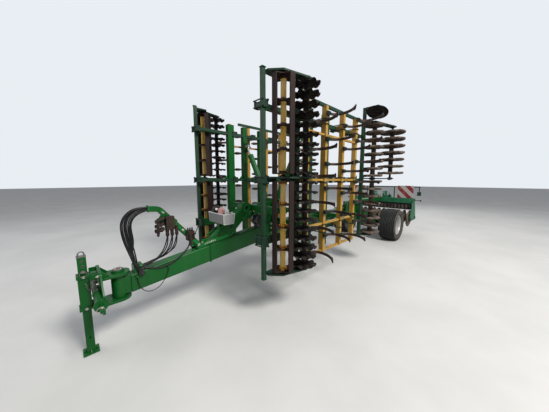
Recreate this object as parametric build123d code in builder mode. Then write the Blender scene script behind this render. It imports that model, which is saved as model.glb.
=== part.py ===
from build123d import *
import os
from math import cos, pi, radians, sin, tan

os.makedirs("parts", exist_ok=True)

# A folded, lower-link towed field cultivator about 5 m wide in work, in millimetres.
# +Z is up, -Y is the towing direction and +X is the machine's left.
# The origin is on the ground, on the centre line, halfway between the foremost and the rearmost point.

# Driving dimensions along the machine
half_length = 3890
foot_size = 120
stand_y = foot_size / 2 - half_length
link_bar_y = -3745
head_pivot_y = -3570
drawbar_front_y = -3470
hose_arm_y = -2690
frame_front_y = -1500
front_post_y = -2330
cage_y = -2130
disc_y = -1835
tine_beam_ys = (-1650, -1230, -750, -320)
main_upright_ys = (-1720, -1420, -1020)
hinge_ys = (-1250, -120)
cylinder_y = -1420
rear_upright_y = 130
first_ring_y = 350
last_ring_y = 950
axle_pivot_y = 1700
wheel_y = 2500
centre_ring_radius = 220
centre_row_ys = (3220, half_length - centre_ring_radius)

# Driving heights and cross positions of the folded wing
wing_bottom_z = 500
wing_top_z = 2810
tool_bottom_z = 600
tool_top_z = 2700
tool_middle_z = 1675
rail_zs = (950, 1650, 2450)
fold_x = 580
fold_z = 950
frame_x = 750
outer_frame_x = 830
tine_frame_x = 880
cage_x = 940
disc_x = 1020
first_ring_x = 940
last_ring_x = 1060

# Sections
upright_size = 80
rear_upright_size = 56
hinge_rail_size = 100
main_beam_width = 140
main_beam_height = 240
main_beam_bottom = 720
tine_beam_size = 70
plate = 20
running_gap = 0.1
seat_gap = 0.3
side_gap = 1.0

frame_inner_x = frame_x - upright_size / 2
frame_outer_x = frame_x + upright_size / 2
post_outer_x = outer_frame_x + upright_size / 2


def block(x_range, y_range, z_range, mode=Mode.ADD):
    """A rectangular bar between two limits on each axis."""
    (x0, x1), (y0, y1), (z0, z1) = x_range, y_range, z_range
    with Locations(((x0 + x1) / 2, (y0 + y1) / 2, (z0 + z1) / 2)):
        Box(abs(x1 - x0), abs(y1 - y0), abs(z1 - z0), mode=mode)


def about(middle, size):
    """The two limits of a length that is centred on a middle."""
    return (middle - size / 2, middle + size / 2)


def round_bar(start, end, radius, mode=Mode.ADD):
    """A round bar from one point to another."""
    axis = Vector(*end) - Vector(*start)
    with BuildSketch(Plane(origin=start, z_dir=axis.normalized())) as section:
        Circle(radius)
    extrude(section.sketch, amount=axis.length, mode=mode)


def side_plate(points, x_range):
    """A plate whose outline is given in Y and Z, between two X limits."""
    with BuildSketch(Plane.YZ.offset(min(x_range))) as profile:
        Polygon(*points, align=None)
    extrude(profile.sketch, amount=abs(x_range[1] - x_range[0]))


def front_plate(points, y_range):
    """A plate whose outline is given in X and Z, between two Y limits."""
    with BuildSketch(Plane.XZ.offset(-max(y_range))) as profile:
        Polygon(*points, align=None)
    extrude(profile.sketch, amount=abs(y_range[1] - y_range[0]))


def level_plate(points, z_range):
    """A plate whose outline is given in X and Y, between two Z limits."""
    with BuildSketch(Plane.XY.offset(min(z_range))) as profile:
        Polygon(*points, align=None)
    extrude(profile.sketch, amount=abs(z_range[1] - z_range[0]))


def save(part, name):
    part.label = name
    export_step(part, f"parts/{name}.step")


def save_pair(part, name):
    """Writes the left piece and its mirror image on the right."""
    save(part, f"left_{name}")
    save(mirror(part, about=Plane.YZ), f"right_{name}")


# Drawbar: a box beam that rises towards the rear, with a nose boss for the head pin and an end flange
pin_radius = 25
boss_radius = 62
nose_bottom_z = 470
nose_top_z = 700
drawbar_end_bottom = 700
drawbar_end_top = 950
flange_thickness = 20
flange_width = 240
neck_width = 110

with BuildPart() as drawbar:
    drawbar_side = [
        (drawbar_front_y, nose_bottom_z + 20),
        (drawbar_front_y, nose_top_z - 20),
        (frame_front_y - flange_thickness, drawbar_end_top),
        (frame_front_y - flange_thickness, drawbar_end_bottom),
    ]
    side_plate(drawbar_side, about(0, main_beam_width))
    fillet(drawbar.edges().filter_by(lambda e: abs(e.tangent_at(0.5).Y) > 0.9), 14)
    block(about(0, neck_width), (head_pivot_y, drawbar_front_y + 5), (nose_bottom_z + 25, nose_top_z - 25))
    round_bar((0, head_pivot_y, nose_bottom_z), (0, head_pivot_y, nose_top_z), boss_radius)
    block(
        about(0, flange_width),
        (frame_front_y - flange_thickness, frame_front_y),
        (drawbar_end_bottom - 10, drawbar_end_top + 20),
    )
    round_bar(
        (0, head_pivot_y, nose_bottom_z - 1),
        (0, head_pivot_y, nose_top_z + 1),
        pin_radius + running_gap,
        mode=Mode.SUBTRACT,
    )
save(drawbar.part, "drawbar")

# Centre frame: a long box beam, two hinge cross beams with ears, the cylinder tower and the raised tail beam
ear_thickness = 44
ear_radius = 52
cross_size = 120
cross_half = 490
hinge_pin_radius = 22
tower_plate = 22
eye_width = 44
base_pin_x = 100
base_pin_z = 1280
cylinder_pin_radius = 20
tail_bottom_z = 990
tail_top_z = 1110
tail_width = 120
main_beam_top = main_beam_bottom + main_beam_height
main_beam_end_y = axle_pivot_y + 100
tail_start_y = 1150
tail_end_y = 3425
axle_pivot_z = 840
axle_ear_x = 170
lift_pin_y = 900
lift_x = 140
lift_pin_z = 1060

with BuildPart() as centre_frame:
    block(
        about(0, main_beam_width),
        (frame_front_y, main_beam_end_y),
        (main_beam_bottom, main_beam_top),
    )
    for hinge_y in hinge_ys:
        block((-cross_half, cross_half), about(hinge_y, cross_size), (fold_z - 70, fold_z + 50))
        for side in (-1, 1):
            with BuildSketch(Plane.XZ.offset(-(hinge_y - ear_thickness / 2))):
                with Locations((side * fold_x, fold_z)):
                    Circle(ear_radius)
                with Locations((side * (fold_x + cross_half) / 2, fold_z)):
                    Rectangle(fold_x - cross_half, 2 * ear_radius - 20)
            extrude(amount=-ear_thickness)
            round_bar(
                (side * fold_x, hinge_y - ear_thickness, fold_z),
                (side * fold_x, hinge_y + ear_thickness, fold_z),
                hinge_pin_radius + running_gap,
                mode=Mode.SUBTRACT,
            )
    tower_top = base_pin_z + 60
    tower_outline = [
        (-70, main_beam_top - 40),
        (-160, base_pin_z - 40),
        (-160, tower_top - 30),
        (-130, tower_top),
        (130, tower_top),
        (160, tower_top - 30),
        (160, base_pin_z - 40),
        (70, main_beam_top - 40),
    ]
    for side in (-1, 1):
        near_y = cylinder_y + side * (eye_width / 2 + side_gap)
        far_y = near_y + side * tower_plate
        front_plate(tower_outline, (near_y, far_y))
    # The tail beam steps up over the axle and carries the rear roller frame
    block(about(0, tail_width), (tail_start_y, tail_end_y), (tail_bottom_z, tail_top_z))
    block(about(0, tail_width), (tail_start_y, tail_start_y + 300), (main_beam_top - 10, tail_bottom_z + 10))
    # Axle pivot lugs under the beam's end
    for side in (-1, 1):
        side_plate(
            [
                (axle_pivot_y - 90, main_beam_top),
                (axle_pivot_y + 90, main_beam_top),
                (axle_pivot_y + 60, axle_pivot_z - 60),
                (axle_pivot_y - 60, axle_pivot_z - 60),
            ],
            (side * main_beam_width / 2, side * (main_beam_width / 2 + 12)),
        )
    # Bracket with two lugs for the lift cylinder's base, on the beam's left side
    block((main_beam_width / 2, lift_x + 39), about(lift_pin_y, 120), (main_beam_top - 60, main_beam_top - 40))
    for side in (-1, 1):
        near_x = lift_x + side * (eye_width / 2 + side_gap)
        side_plate(
            [
                (lift_pin_y - 60, main_beam_top - 50),
                (lift_pin_y - 40, lift_pin_z + 40),
                (lift_pin_y + 40, lift_pin_z + 40),
                (lift_pin_y + 60, main_beam_top - 50),
            ],
            (near_x, near_x + side * 16),
        )
    round_bar(
        (-200, axle_pivot_y, axle_pivot_z),
        (200, axle_pivot_y, axle_pivot_z),
        30 + running_gap,
        mode=Mode.SUBTRACT,
    )
    for side in (-1, 1):
        round_bar(
            (side * base_pin_x, cylinder_y - 60, base_pin_z),
            (side * base_pin_x, cylinder_y + 60, base_pin_z),
            cylinder_pin_radius + running_gap,
            mode=Mode.SUBTRACT,
        )
    round_bar(
        (lift_x - 60, lift_pin_y, lift_pin_z),
        (lift_x + 60, lift_pin_y, lift_pin_z),
        cylinder_pin_radius + running_gap,
        mode=Mode.SUBTRACT,
    )
save(centre_frame.part, "centre_frame")

# Front strut: a deep inclined box from the drawbar up to the tower, with a ring ear and a cross bar
strut_foot_y = -2610
strut_head_y = -1990
strut_head_z = 1240
strut_width = 100
slope = (drawbar_end_top - (nose_top_z - 20)) / (frame_front_y - flange_thickness - drawbar_front_y)


def drawbar_top(y):
    """The height of the drawbar's upper face at a station."""
    return nose_top_z - 20 + slope * (y - drawbar_front_y)


rest_half = 560
box_front_y = -2470
box_depth = 230
box_bottom_z = 1110
stool_y = (box_front_y + 40, box_front_y + box_depth - 30)
stool_bottom_z = 900
with BuildPart() as front_strut:
    side_plate(
        [
            (strut_foot_y, drawbar_top(strut_foot_y)),
            (strut_foot_y + 10, drawbar_top(strut_foot_y) + 40),
            (strut_head_y - 60, strut_head_z + 20),
            (cylinder_y - eye_width / 2 - tower_plate - side_gap, strut_head_z + 60),
            (cylinder_y - eye_width / 2 - tower_plate - side_gap, strut_head_z - 30),
            (strut_head_y + 60, strut_head_z - 60),
            (strut_foot_y + 330, drawbar_top(strut_foot_y + 330)),
        ],
        about(0, strut_width),
    )
    # Stool under the tool box
    block(about(0, 70), stool_y, (stool_bottom_z, box_bottom_z))
    round_bar((-60, strut_head_y, strut_head_z), (60, strut_head_y, strut_head_z), 80)
    round_bar((-61, strut_head_y, strut_head_z), (61, strut_head_y, strut_head_z), 32, mode=Mode.SUBTRACT)
    # Cross bar with rest ears for the folded wings
    block((-rest_half, rest_half), about(strut_head_y + 120, 80), (strut_head_z - 40, strut_head_z + 40))
    for side in (-1, 1):
        with BuildSketch(Plane.XZ.offset(-(strut_head_y + 110))):
            with Locations((side * rest_half, strut_head_z)):
                Circle(62)
                Circle(26, mode=Mode.SUBTRACT)
        extrude(amount=-20)
save(front_strut.part, "front_strut")

# Tool box: an open trapezoid tray of sheet on the strut
box_height = 200
box_half_bottom = 150
box_half_top = 200
box_wall = 4
with BuildPart() as tool_box:
    with BuildSketch(Plane.XY.offset(box_bottom_z)):
        with Locations((0, box_front_y + box_depth / 2)):
            Rectangle(2 * box_half_bottom, box_depth - 40)
    with BuildSketch(Plane.XY.offset(box_bottom_z + box_height)):
        with Locations((0, box_front_y + box_depth / 2)):
            Rectangle(2 * box_half_top, box_depth)
    loft()
    offset(amount=-box_wall, openings=tool_box.faces().sort_by(Axis.Z)[-1])
save(tool_box.part, "tool_box")

# Accumulator: a dark pressure bottle on a saddle over the drawbar, with a bright end cap
bottle_y = -1790
bottle_z = 1045
bottle_radius = 85
bottle_length = 240
with BuildPart() as pressure_bottle:
    round_bar((-20, bottle_y, bottle_z), (-20 + bottle_length, bottle_y, bottle_z), bottle_radius)
    chamfer(pressure_bottle.edges().filter_by(GeomType.CIRCLE), 30)
    round_bar((bottle_length - 25, bottle_y, bottle_z), (bottle_length + 25, bottle_y, bottle_z), 28)
    block((-20 + 40, 66), about(bottle_y, 60), (drawbar_top(bottle_y) - 20, bottle_z - 40))
    add(drawbar.part, mode=Mode.SUBTRACT)
save(pressure_bottle.part, "pressure_bottle")

# Hose arm: a square tube that leans forward from the drawbar, bends level and carries a coupler plate
arm_size = 60
arm_top_y = -3160
arm_top_z = 1330
arm_tip_y = -3270
arm_foot_z = drawbar_top(hose_arm_y)
plate_centre_y = -3060
with BuildPart() as hose_arm:
    with BuildLine():
        FilletPolyline(
            (0, hose_arm_y, arm_foot_z + 10),
            (0, arm_top_y, arm_top_z),
            (0, arm_tip_y, arm_top_z + 10),
            radius=70,
        )
    with BuildSketch(Plane(origin=(0, hose_arm_y, arm_foot_z + 10), x_dir=(1, 0, 0), z_dir=(0, -1, 1))):
        Rectangle(arm_size, arm_size)
    sweep()
    block(about(0, 120), about(hose_arm_y, 120), (arm_foot_z - 16, arm_foot_z + 24))
    add(drawbar.part, mode=Mode.SUBTRACT)
    side_plate(
        [
            (plate_centre_y + 90, arm_top_z - 150),
            (plate_centre_y - 60, arm_top_z - 20),
            (plate_centre_y - 130, arm_top_z - 130),
            (plate_centre_y + 20, arm_top_z - 260),
        ],
        (arm_size / 2, arm_size / 2 + 12),
    )
save(hose_arm.part, "hose_arm")

# Coupler block: the parked hose ends and the valves under the arm
coupler_x = (arm_size / 2 + 12, arm_size / 2 + 72)
coupler_z = 1180
coupler_size = 150
valve_y = -2840
valve_z = (925, 1035)
valve_hose_x = arm_size / 2 + 30
socket_radius = 17
socket_ys = (-3100, -3050, -3000)
with BuildPart() as coupler_block:
    block(coupler_x, about(plate_centre_y - 10, 90), about(coupler_z - 10, coupler_size))
    for socket_y in socket_ys:
        round_bar(
            ((coupler_x[0] + coupler_x[1]) / 2, socket_y, coupler_z - 160),
            ((coupler_x[0] + coupler_x[1]) / 2, socket_y, coupler_z - 50),
            socket_radius,
        )
    block((arm_size / 2, arm_size / 2 + 60), about(valve_y, 90), valve_z)
save(coupler_block.part, "coupler_block")

# Rear frame: a cross beam with end plates that carry the two rows of the rear roller
rear_half = 960
rear_beam_y = 3485
rear_beam_z = (1000, 1100)
rear_axis_z = 510
end_plate = 14
shaft_radius = 20
with BuildPart() as rear_frame:
    block((-rear_half, rear_half), about(rear_beam_y, 120), rear_beam_z)
    end_outline = [
        (rear_beam_y - 60, rear_beam_z[1]),
        (rear_beam_y + 60, rear_beam_z[1]),
        (centre_row_ys[1] + 60, rear_axis_z + 60),
        (centre_row_ys[1] + 60, rear_axis_z - 60),
        (centre_row_ys[0] - 60, rear_axis_z - 60),
        (centre_row_ys[0] - 60, rear_axis_z + 60),
    ]
    for side in (-1, 1):
        side_plate(end_outline, (side * rear_half, side * (rear_half + end_plate)))
    for row_y in centre_row_ys:
        round_bar(
            (-rear_half - 20, row_y, rear_axis_z),
            (rear_half + 20, row_y, rear_axis_z),
            shaft_radius + running_gap,
            mode=Mode.SUBTRACT,
        )
save(rear_frame.part, "rear_frame")

# Light rail: a thin tube across the rear on two posts, with a lamp at each end
rail_half = 1100
rail_z = 1440
rail_y = 3485
rail_radius = 15
rail_post_x = 420
lamp_size = (90, 50, 110)
with BuildPart() as light_rail:
    round_bar((-rail_half, rail_y, rail_z), (rail_half, rail_y, rail_z), rail_radius)
    for side in (-1, 1):
        round_bar(
            (side * rail_post_x, rail_y, rear_beam_z[1]),
            (side * rail_post_x, rail_y, rail_z),
            rail_radius,
        )
        round_bar(
            (side * (rail_half - 20), rail_y, rail_z),
            (side * (rail_half - 20), rail_y, rail_z - 150),
            rail_radius - 3,
        )
        block(
            about(side * (rail_half - 20), lamp_size[0]),
            about(rail_y, lamp_size[1]),
            about(rail_z - 200, lamp_size[2]),
        )
save(light_rail.part, "light_rail")

# Warning boards: two striped sheets that stand on the rear beam against the rail posts
board_size = 340
board_x = 640
board_thickness = 3
with BuildPart() as warning_boards:
    for side in (-1, 1):
        block(
            about(side * board_x, board_size),
            (rail_y - rail_radius - board_thickness, rail_y - rail_radius),
            (rear_beam_z[1] + 10, rear_beam_z[1] + 10 + board_size),
        )
save(warning_boards.part, "warning_boards")

# Hitch head: a yoke on the head pin, a face plate, the lower-link bar, and the stand's sleeve
yoke_plate = 25
yoke_gap = 2
yoke_bottom = nose_bottom_z - yoke_gap - yoke_plate
yoke_top = nose_top_z + yoke_gap + yoke_plate
yoke_half = 100
face_y = -3705
face_half = 160
face_z = (400, 800)
link_bar_z = 600
link_bar_radius = 38
link_pin_radius = 18.3
link_pin_length = 110
link_bar_half = 380
stand_size = 65
sleeve_wall = 10
sleeve_z = (440, 780)
with BuildPart() as hitch_head:
    for z_range in ((yoke_bottom, yoke_bottom + yoke_plate), (yoke_top - yoke_plate, yoke_top)):
        with BuildSketch(Plane.XY.offset(z_range[0])):
            with Locations((0, (face_y + head_pivot_y) / 2)):
                Rectangle(2 * yoke_half, head_pivot_y - face_y)
            with Locations((0, head_pivot_y)):
                Circle(yoke_half)
        extrude(amount=yoke_plate)
    block((-face_half, face_half), (face_y - 25, face_y), face_z)
    fillet(hitch_head.edges().filter_by(Axis.Y).sort_by(Axis.Z)[-2:], 40)
    round_bar((0, head_pivot_y, yoke_bottom), (0, head_pivot_y, yoke_top + 20), boss_radius - 6)
    round_bar(
        (0, head_pivot_y, nose_bottom_z - yoke_gap),
        (0, head_pivot_y, nose_top_z + yoke_gap),
        yoke_half + 5,
        mode=Mode.SUBTRACT,
    )
    round_bar(
        (0, head_pivot_y, yoke_bottom - 1),
        (0, head_pivot_y, yoke_top + 21),
        pin_radius,
        mode=Mode.SUBTRACT,
    )
    round_bar((-link_bar_half, link_bar_y, link_bar_z), (link_bar_half, link_bar_y, link_bar_z), link_bar_radius)
    for side in (-1, 1):
        round_bar(
            (side * link_bar_half, link_bar_y, link_bar_z),
            (side * (link_bar_half + link_pin_length), link_bar_y, link_bar_z),
            link_pin_radius,
        )
    # Square sleeve for the stand, held to the face plate above and below the bar
    block(
        about(0, stand_size + 2 * (sleeve_wall + running_gap)),
        about(stand_y, stand_size + 2 * (sleeve_wall + running_gap)),
        sleeve_z,
    )
    for z_range in ((sleeve_z[0], sleeve_z[0] + 60), (sleeve_z[1] - 40, sleeve_z[1])):
        block(about(0, 60), (stand_y + 40, face_y - 10), z_range)
    block(
        about(0, stand_size + 2 * running_gap),
        about(stand_y, stand_size + 2 * running_gap),
        (sleeve_z[0] - 1, sleeve_z[1] + 1),
        mode=Mode.SUBTRACT,
    )
save(hitch_head.part, "hitch_head")

# Head pin: the vertical pin that the hitch head turns on, with a cap on top
with BuildPart() as head_pin:
    round_bar((0, head_pivot_y, yoke_bottom), (0, head_pivot_y, yoke_top + 20), pin_radius)
    round_bar((0, head_pivot_y, yoke_top + 20), (0, head_pivot_y, yoke_top + 30), pin_radius + 20)
save(head_pin.part, "head_pin")

# Parking stand: a square leg with a row of pin holes and a small foot
leg_top_z = 950
foot_thickness = 12
hole_radius = 8
with BuildPart() as stand_leg:
    block(about(0, stand_size), about(stand_y, stand_size), (foot_thickness, leg_top_z))
    chamfer(stand_leg.edges().filter_by(Axis.Z), 6)
    block(about(0, foot_size), about(stand_y, foot_size), (0, foot_thickness))
    for hole_z in (160, 820, 865, 910):
        round_bar(
            (-stand_size, stand_y, hole_z),
            (stand_size, stand_y, hole_z),
            hole_radius,
            mode=Mode.SUBTRACT,
        )
save(stand_leg.part, "stand_leg")

# Axle: a swinging frame of two arms and a cross tube, with a stub for each wheel and a lift lever
tyre_radius = 430
tyre_width = 430
wheel_x = 680
stub_radius = 35
hub_radius = 110
rim_disc_inner_x = wheel_x - 80
arm_x = 290
arm_width = 90
axle_tube = 120
lever_z = 1060
with BuildPart() as axle:
    round_bar((-arm_x - 45, axle_pivot_y, axle_pivot_z), (arm_x + 45, axle_pivot_y, axle_pivot_z), 30)
    for side in (-1, 1):
        inner = side * (main_beam_width / 2 + 12 + side_gap)
        round_bar(
            (inner, axle_pivot_y, axle_pivot_z),
            (side * (arm_x + 45), axle_pivot_y, axle_pivot_z),
            62,
        )
        side_plate(
            [
                (axle_pivot_y - 60, axle_pivot_z - 40),
                (axle_pivot_y - 30, axle_pivot_z + 60),
                (axle_pivot_y + 50, axle_pivot_z + 55),
                (wheel_y + 60, tyre_radius + 60),
                (wheel_y + 60, tyre_radius - 60),
                (wheel_y - 60, tyre_radius - 60),
            ],
            about(side * arm_x, arm_width),
        )
        round_bar(
            (side * 500, wheel_y, tyre_radius),
            (side * (rim_disc_inner_x + 60), wheel_y, tyre_radius),
            stub_radius,
        )
    block((-500, 500), about(wheel_y, axle_tube), about(tyre_radius, axle_tube))
    # Lift lever on the pivot tube beside the beam's lugs
    side_plate(
        [
            (axle_pivot_y - 55, axle_pivot_z),
            (axle_pivot_y - 30, lever_z + 30),
            (axle_pivot_y + 30, lever_z + 30),
            (axle_pivot_y + 55, axle_pivot_z),
        ],
        (lift_x + eye_width / 2 + side_gap, lift_x + eye_width / 2 + side_gap + 24),
    )
save(axle.part, "axle")

# Wheels: a steel rim with its disc on the stub, and a ribbed implement tyre
rim_radius = 262
rim_width = 340
rim_inner_radius = 232
disc_thickness = 12


def wheel_ring(points):
    """A ring about the wheel's axle from a profile of (distance from the middle plane, radius)."""
    with BuildSketch(Plane(origin=(wheel_x, wheel_y, tyre_radius), x_dir=(1, 0, 0), z_dir=(0, -1, 0))) as profile:
        Polygon(*points, align=None)
    revolve(profile.sketch, axis=Axis((wheel_x, wheel_y, tyre_radius), (1, 0, 0)), revolution_arc=360)


half_rim = rim_width / 2
disc_offset = 40
with BuildPart() as wheel_rim:
    wheel_ring(
        [
            (-half_rim, rim_radius),
            (half_rim, rim_radius),
            (half_rim, rim_radius - 12),
            (half_rim - 30, rim_inner_radius),
            (30 - half_rim, rim_inner_radius),
            (-half_rim, rim_radius - 12),
        ]
    )
    wheel_ring(
        [
            (-disc_offset, stub_radius + running_gap),
            (-disc_offset, hub_radius),
            (-10, rim_inner_radius + 4),
            (2, rim_inner_radius + 4),
            (-disc_offset + 14, hub_radius),
            (30, hub_radius - 40),
            (30, stub_radius + running_gap),
        ]
    )
save_pair(wheel_rim.part, "wheel_rim")

half_tyre = tyre_width / 2
with BuildPart() as tyre:
    wheel_ring(
        [
            (-half_rim, rim_radius + seat_gap),
            (-half_tyre, rim_radius + 85),
            (65 - half_tyre, tyre_radius),
            (half_tyre - 65, tyre_radius),
            (half_tyre, rim_radius + 85),
            (half_rim, rim_radius + seat_gap),
        ]
    )
save_pair(tyre.part, "tyre")

# Lift cylinder for the axle, over the main beam
barrel_radius = 48
rod_radius = 21
rod_bore = rod_radius + running_gap
eye_radius = 42
barrel_start = 100
lift_length = axle_pivot_y - lift_pin_y
lift_barrel_length = 520


def cylinder_barrel(base, tip, length):
    """A barrel with an eye on its base pin, bored for the rod."""
    start, end = Vector(*base), Vector(*tip)
    way = (end - start).normalized()
    mouth = start + way * length
    cross = (Vector(0, 1, 0) if abs(way.Y) < 0.5 else Vector(1, 0, 0)) * (eye_width / 2)
    round_bar(tuple(start + way * barrel_start), tuple(mouth), barrel_radius)
    round_bar(tuple(start), tuple(start + way * (barrel_start + 10)), eye_width / 2 - 2)
    round_bar(tuple(start - cross), tuple(start + cross), eye_radius)
    round_bar(tuple(start + way * (barrel_start + 20)), tuple(mouth + way), rod_bore, mode=Mode.SUBTRACT)


def cylinder_pin(base, tip, reach):
    """The base pin, long enough to pass through the lugs."""
    start, end = Vector(*base), Vector(*tip)
    way = (end - start).normalized()
    cross = (Vector(0, 1, 0) if abs(way.Y) < 0.5 else Vector(1, 0, 0)) * reach
    round_bar(tuple(start - cross), tuple(start + cross), cylinder_pin_radius)


def cylinder_rod(base, tip, inside):
    """A rod that starts inside the barrel and ends in an eye with its pin."""
    start, end = Vector(*base), Vector(*tip)
    way = (end - start).normalized()
    cross = (Vector(0, 1, 0) if abs(way.Y) < 0.5 else Vector(1, 0, 0)) * (eye_width / 2)
    round_bar(tuple(start + way * inside), tuple(end - way * 20), rod_radius)
    round_bar(tuple(end - cross), tuple(end + cross), eye_radius)


lift_base = (lift_x, lift_pin_y, lift_pin_z)
lift_tip = (lift_x, axle_pivot_y, lever_z)
with BuildPart() as lift_barrel:
    cylinder_barrel(lift_base, lift_tip, lift_barrel_length)
    cylinder_pin(lift_base, lift_tip, eye_width / 2 + side_gap + 16)
save(lift_barrel.part, "lift_barrel")
with BuildPart() as lift_rod:
    cylinder_rod(lift_base, lift_tip, 260)
save(lift_rod.part, "lift_rod")

# Fold cylinders between the tower and the folded wings
fold_base = (base_pin_x, cylinder_y, base_pin_z)
fold_tip = (640, cylinder_y, 2250)
fold_barrel_length = 930
with BuildPart() as fold_barrel:
    cylinder_barrel(fold_base, fold_tip, fold_barrel_length)
    cylinder_pin(fold_base, fold_tip, eye_width / 2 + side_gap + tower_plate)
save_pair(fold_barrel.part, "fold_barrel")
with BuildPart() as fold_rod:
    cylinder_rod(fold_base, fold_tip, 140)
save_pair(fold_rod.part, "fold_rod")

# Wing frame, left: uprights and rails of square tube, with hinge lugs and a lug for the fold cylinder
frame_x_range = (frame_inner_x, frame_outer_x)
post_x_range = (frame_outer_x, post_outer_x)
rail_start_y = front_post_y - upright_size / 2
rail_end_y = rear_upright_y + upright_size / 2
lug_plate = 25
main_upright_widths = (120, 80, 100)
main_upright_z = (640, 2600)
beam_top_z = 2655
top_rail_x = 850
top_rail_size = 40
top_rail_start_y = -1470
with BuildPart() as wing_frame:
    block(post_x_range, about(front_post_y, upright_size), (wing_bottom_z, wing_top_z))
    block(
        (frame_outer_x, frame_outer_x + rear_upright_size),
        (rail_end_y - rear_upright_size, rail_end_y),
        (tool_bottom_z, tool_top_z),
    )
    # Slim rail along the tops of the tine beams, into the rear upright
    block(about(top_rail_x, top_rail_size), (top_rail_start_y, rail_end_y - 30), (beam_top_z, beam_top_z + top_rail_size))
    for upright_y, width in zip(main_upright_ys, main_upright_widths):
        block(frame_x_range, about(upright_y, width), main_upright_z)
    for rail_z in rail_zs:
        rail_size = hinge_rail_size if rail_z == fold_z else upright_size
        block(frame_x_range, (rail_start_y, rail_end_y), about(rail_z, rail_size))
    # Hinge lugs on both sides of each ear, with the pin through them
    for hinge_y in hinge_ys:
        for side in (-1, 1):
            near_y = hinge_y + side * (ear_thickness / 2 + side_gap)
            front_plate(
                [
                    (frame_inner_x, fold_z - 70),
                    (fold_x, fold_z - 50),
                    (fold_x - 40, fold_z - 30),
                    (fold_x - 50, fold_z),
                    (fold_x - 40, fold_z + 30),
                    (fold_x, fold_z + 50),
                    (frame_inner_x, fold_z + 110),
                ],
                (near_y, near_y + side * lug_plate),
            )
        round_bar(
            (fold_x, hinge_y - ear_thickness / 2 - lug_plate - 15, fold_z),
            (fold_x, hinge_y + ear_thickness / 2 + lug_plate + 15, fold_z),
            hinge_pin_radius,
        )
    # Lug plates for the fold cylinder's rod eye
    for side in (-1, 1):
        near_y = cylinder_y + side * (eye_width / 2 + side_gap + 4)
        front_plate(
            [
                (frame_inner_x, fold_tip[2] - 90),
                (fold_tip[0] - 30, fold_tip[2] - 25),
                (fold_tip[0] - 30, fold_tip[2] + 25),
                (frame_inner_x, fold_tip[2] + 90),
            ],
            (near_y, near_y + side * 12),
        )
save_pair(wing_frame.part, "wing_frame")

# Tine frame, left: four yellow beams joined by slim bars, bracketed to the rails of the wing frame
bar_zs = (1020, 1650, 2270)
bar_height = 50
bar_depth = 40
beam_z = (tool_bottom_z, beam_top_z)
beam_x_range = about(tine_frame_x, tine_beam_size)
bar_y_range = (tine_beam_ys[0] - tine_beam_size / 2, tine_beam_ys[-1] + tine_beam_size / 2)
with BuildPart() as tine_frame:
    for beam_y in tine_beam_ys:
        block(beam_x_range, about(beam_y, tine_beam_size), beam_z)
        for rail_z in rail_zs:
            block((frame_outer_x, beam_x_range[0]), about(beam_y, tine_beam_size - 10), about(rail_z, 60))
    for bar_z in bar_zs:
        block(about(tine_frame_x, bar_depth), bar_y_range, about(bar_z, bar_height))
    block(about(tine_frame_x, bar_depth), bar_y_range, (beam_z[0], beam_z[0] + bar_height))
save_pair(tine_frame.part, "tine_frame")

# Spring tines, left: flat steel bent into a C, six on each beam, staggered from beam to beam
tine_thickness = 12
tine_width = 35
tine_root_x = beam_x_range[1]
root_length = 90
root_lead = 35
upper_bend = 100
lower_bend = 310
lower_angle = 52
point_length = 85
tines_per_beam = 6
tine_pitch = 340
first_tine_zs = (680, 850, 765, 935)


def tine(beam_y, z):
    """One tine whose flat lies on the beam's outer face, bent back and then down to its point."""
    half = tine_thickness / 2
    root_x = tine_root_x + 18 + half
    bend_y = beam_y + root_length - 40
    upper = (root_x + upper_bend, bend_y)
    lower = (upper[0], bend_y + upper_bend - lower_bend)
    end_angle = 90 - lower_angle
    out = Vector(cos(radians(end_angle)), sin(radians(end_angle)))
    ahead = Vector(sin(radians(end_angle)), -cos(radians(end_angle)))
    centre = Vector(*lower)
    tip = centre + out * lower_bend + ahead * point_length
    with BuildSketch(Plane.XY.offset(z - tine_width / 2)) as profile:
        with BuildLine():
            Line((root_x - half, bend_y), (root_x - half, beam_y - root_lead))
            Line((root_x - half, beam_y - root_lead), (root_x + half, beam_y - root_lead))
            Line((root_x + half, beam_y - root_lead), (root_x + half, bend_y))
            CenterArc(upper, upper_bend - half, 180, -90)
            CenterArc(lower, lower_bend - half, 90, -lower_angle)
            Line(centre + out * (lower_bend - half), tip)
            Line(tip, centre + out * (lower_bend + half))
            CenterArc(lower, lower_bend + half, end_angle, lower_angle)
            CenterArc(upper, upper_bend + half, 90, 90)
        make_face()
    extrude(profile.sketch, amount=tine_width)
    block((tine_root_x, tine_root_x + 18), about(beam_y, tine_beam_size), about(z, 60))


with BuildPart() as tines:
    for beam_y, first_z in zip(tine_beam_ys, first_tine_zs):
        for number in range(tines_per_beam):
            tine(beam_y, first_z + number * tine_pitch)
save_pair(tines.part, "tines")

# Place and tilt of the dished end disc
end_disc_x = 1050
end_disc_y = 150
end_disc_z = 2850
end_toe = 25
end_stub_radius = 18
end_arm_z = (2905, 2940)
end_centre = Vector(end_disc_x, end_disc_y, end_disc_z)
end_axis = Vector(0, sin(radians(end_toe)), cos(radians(end_toe)))

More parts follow.
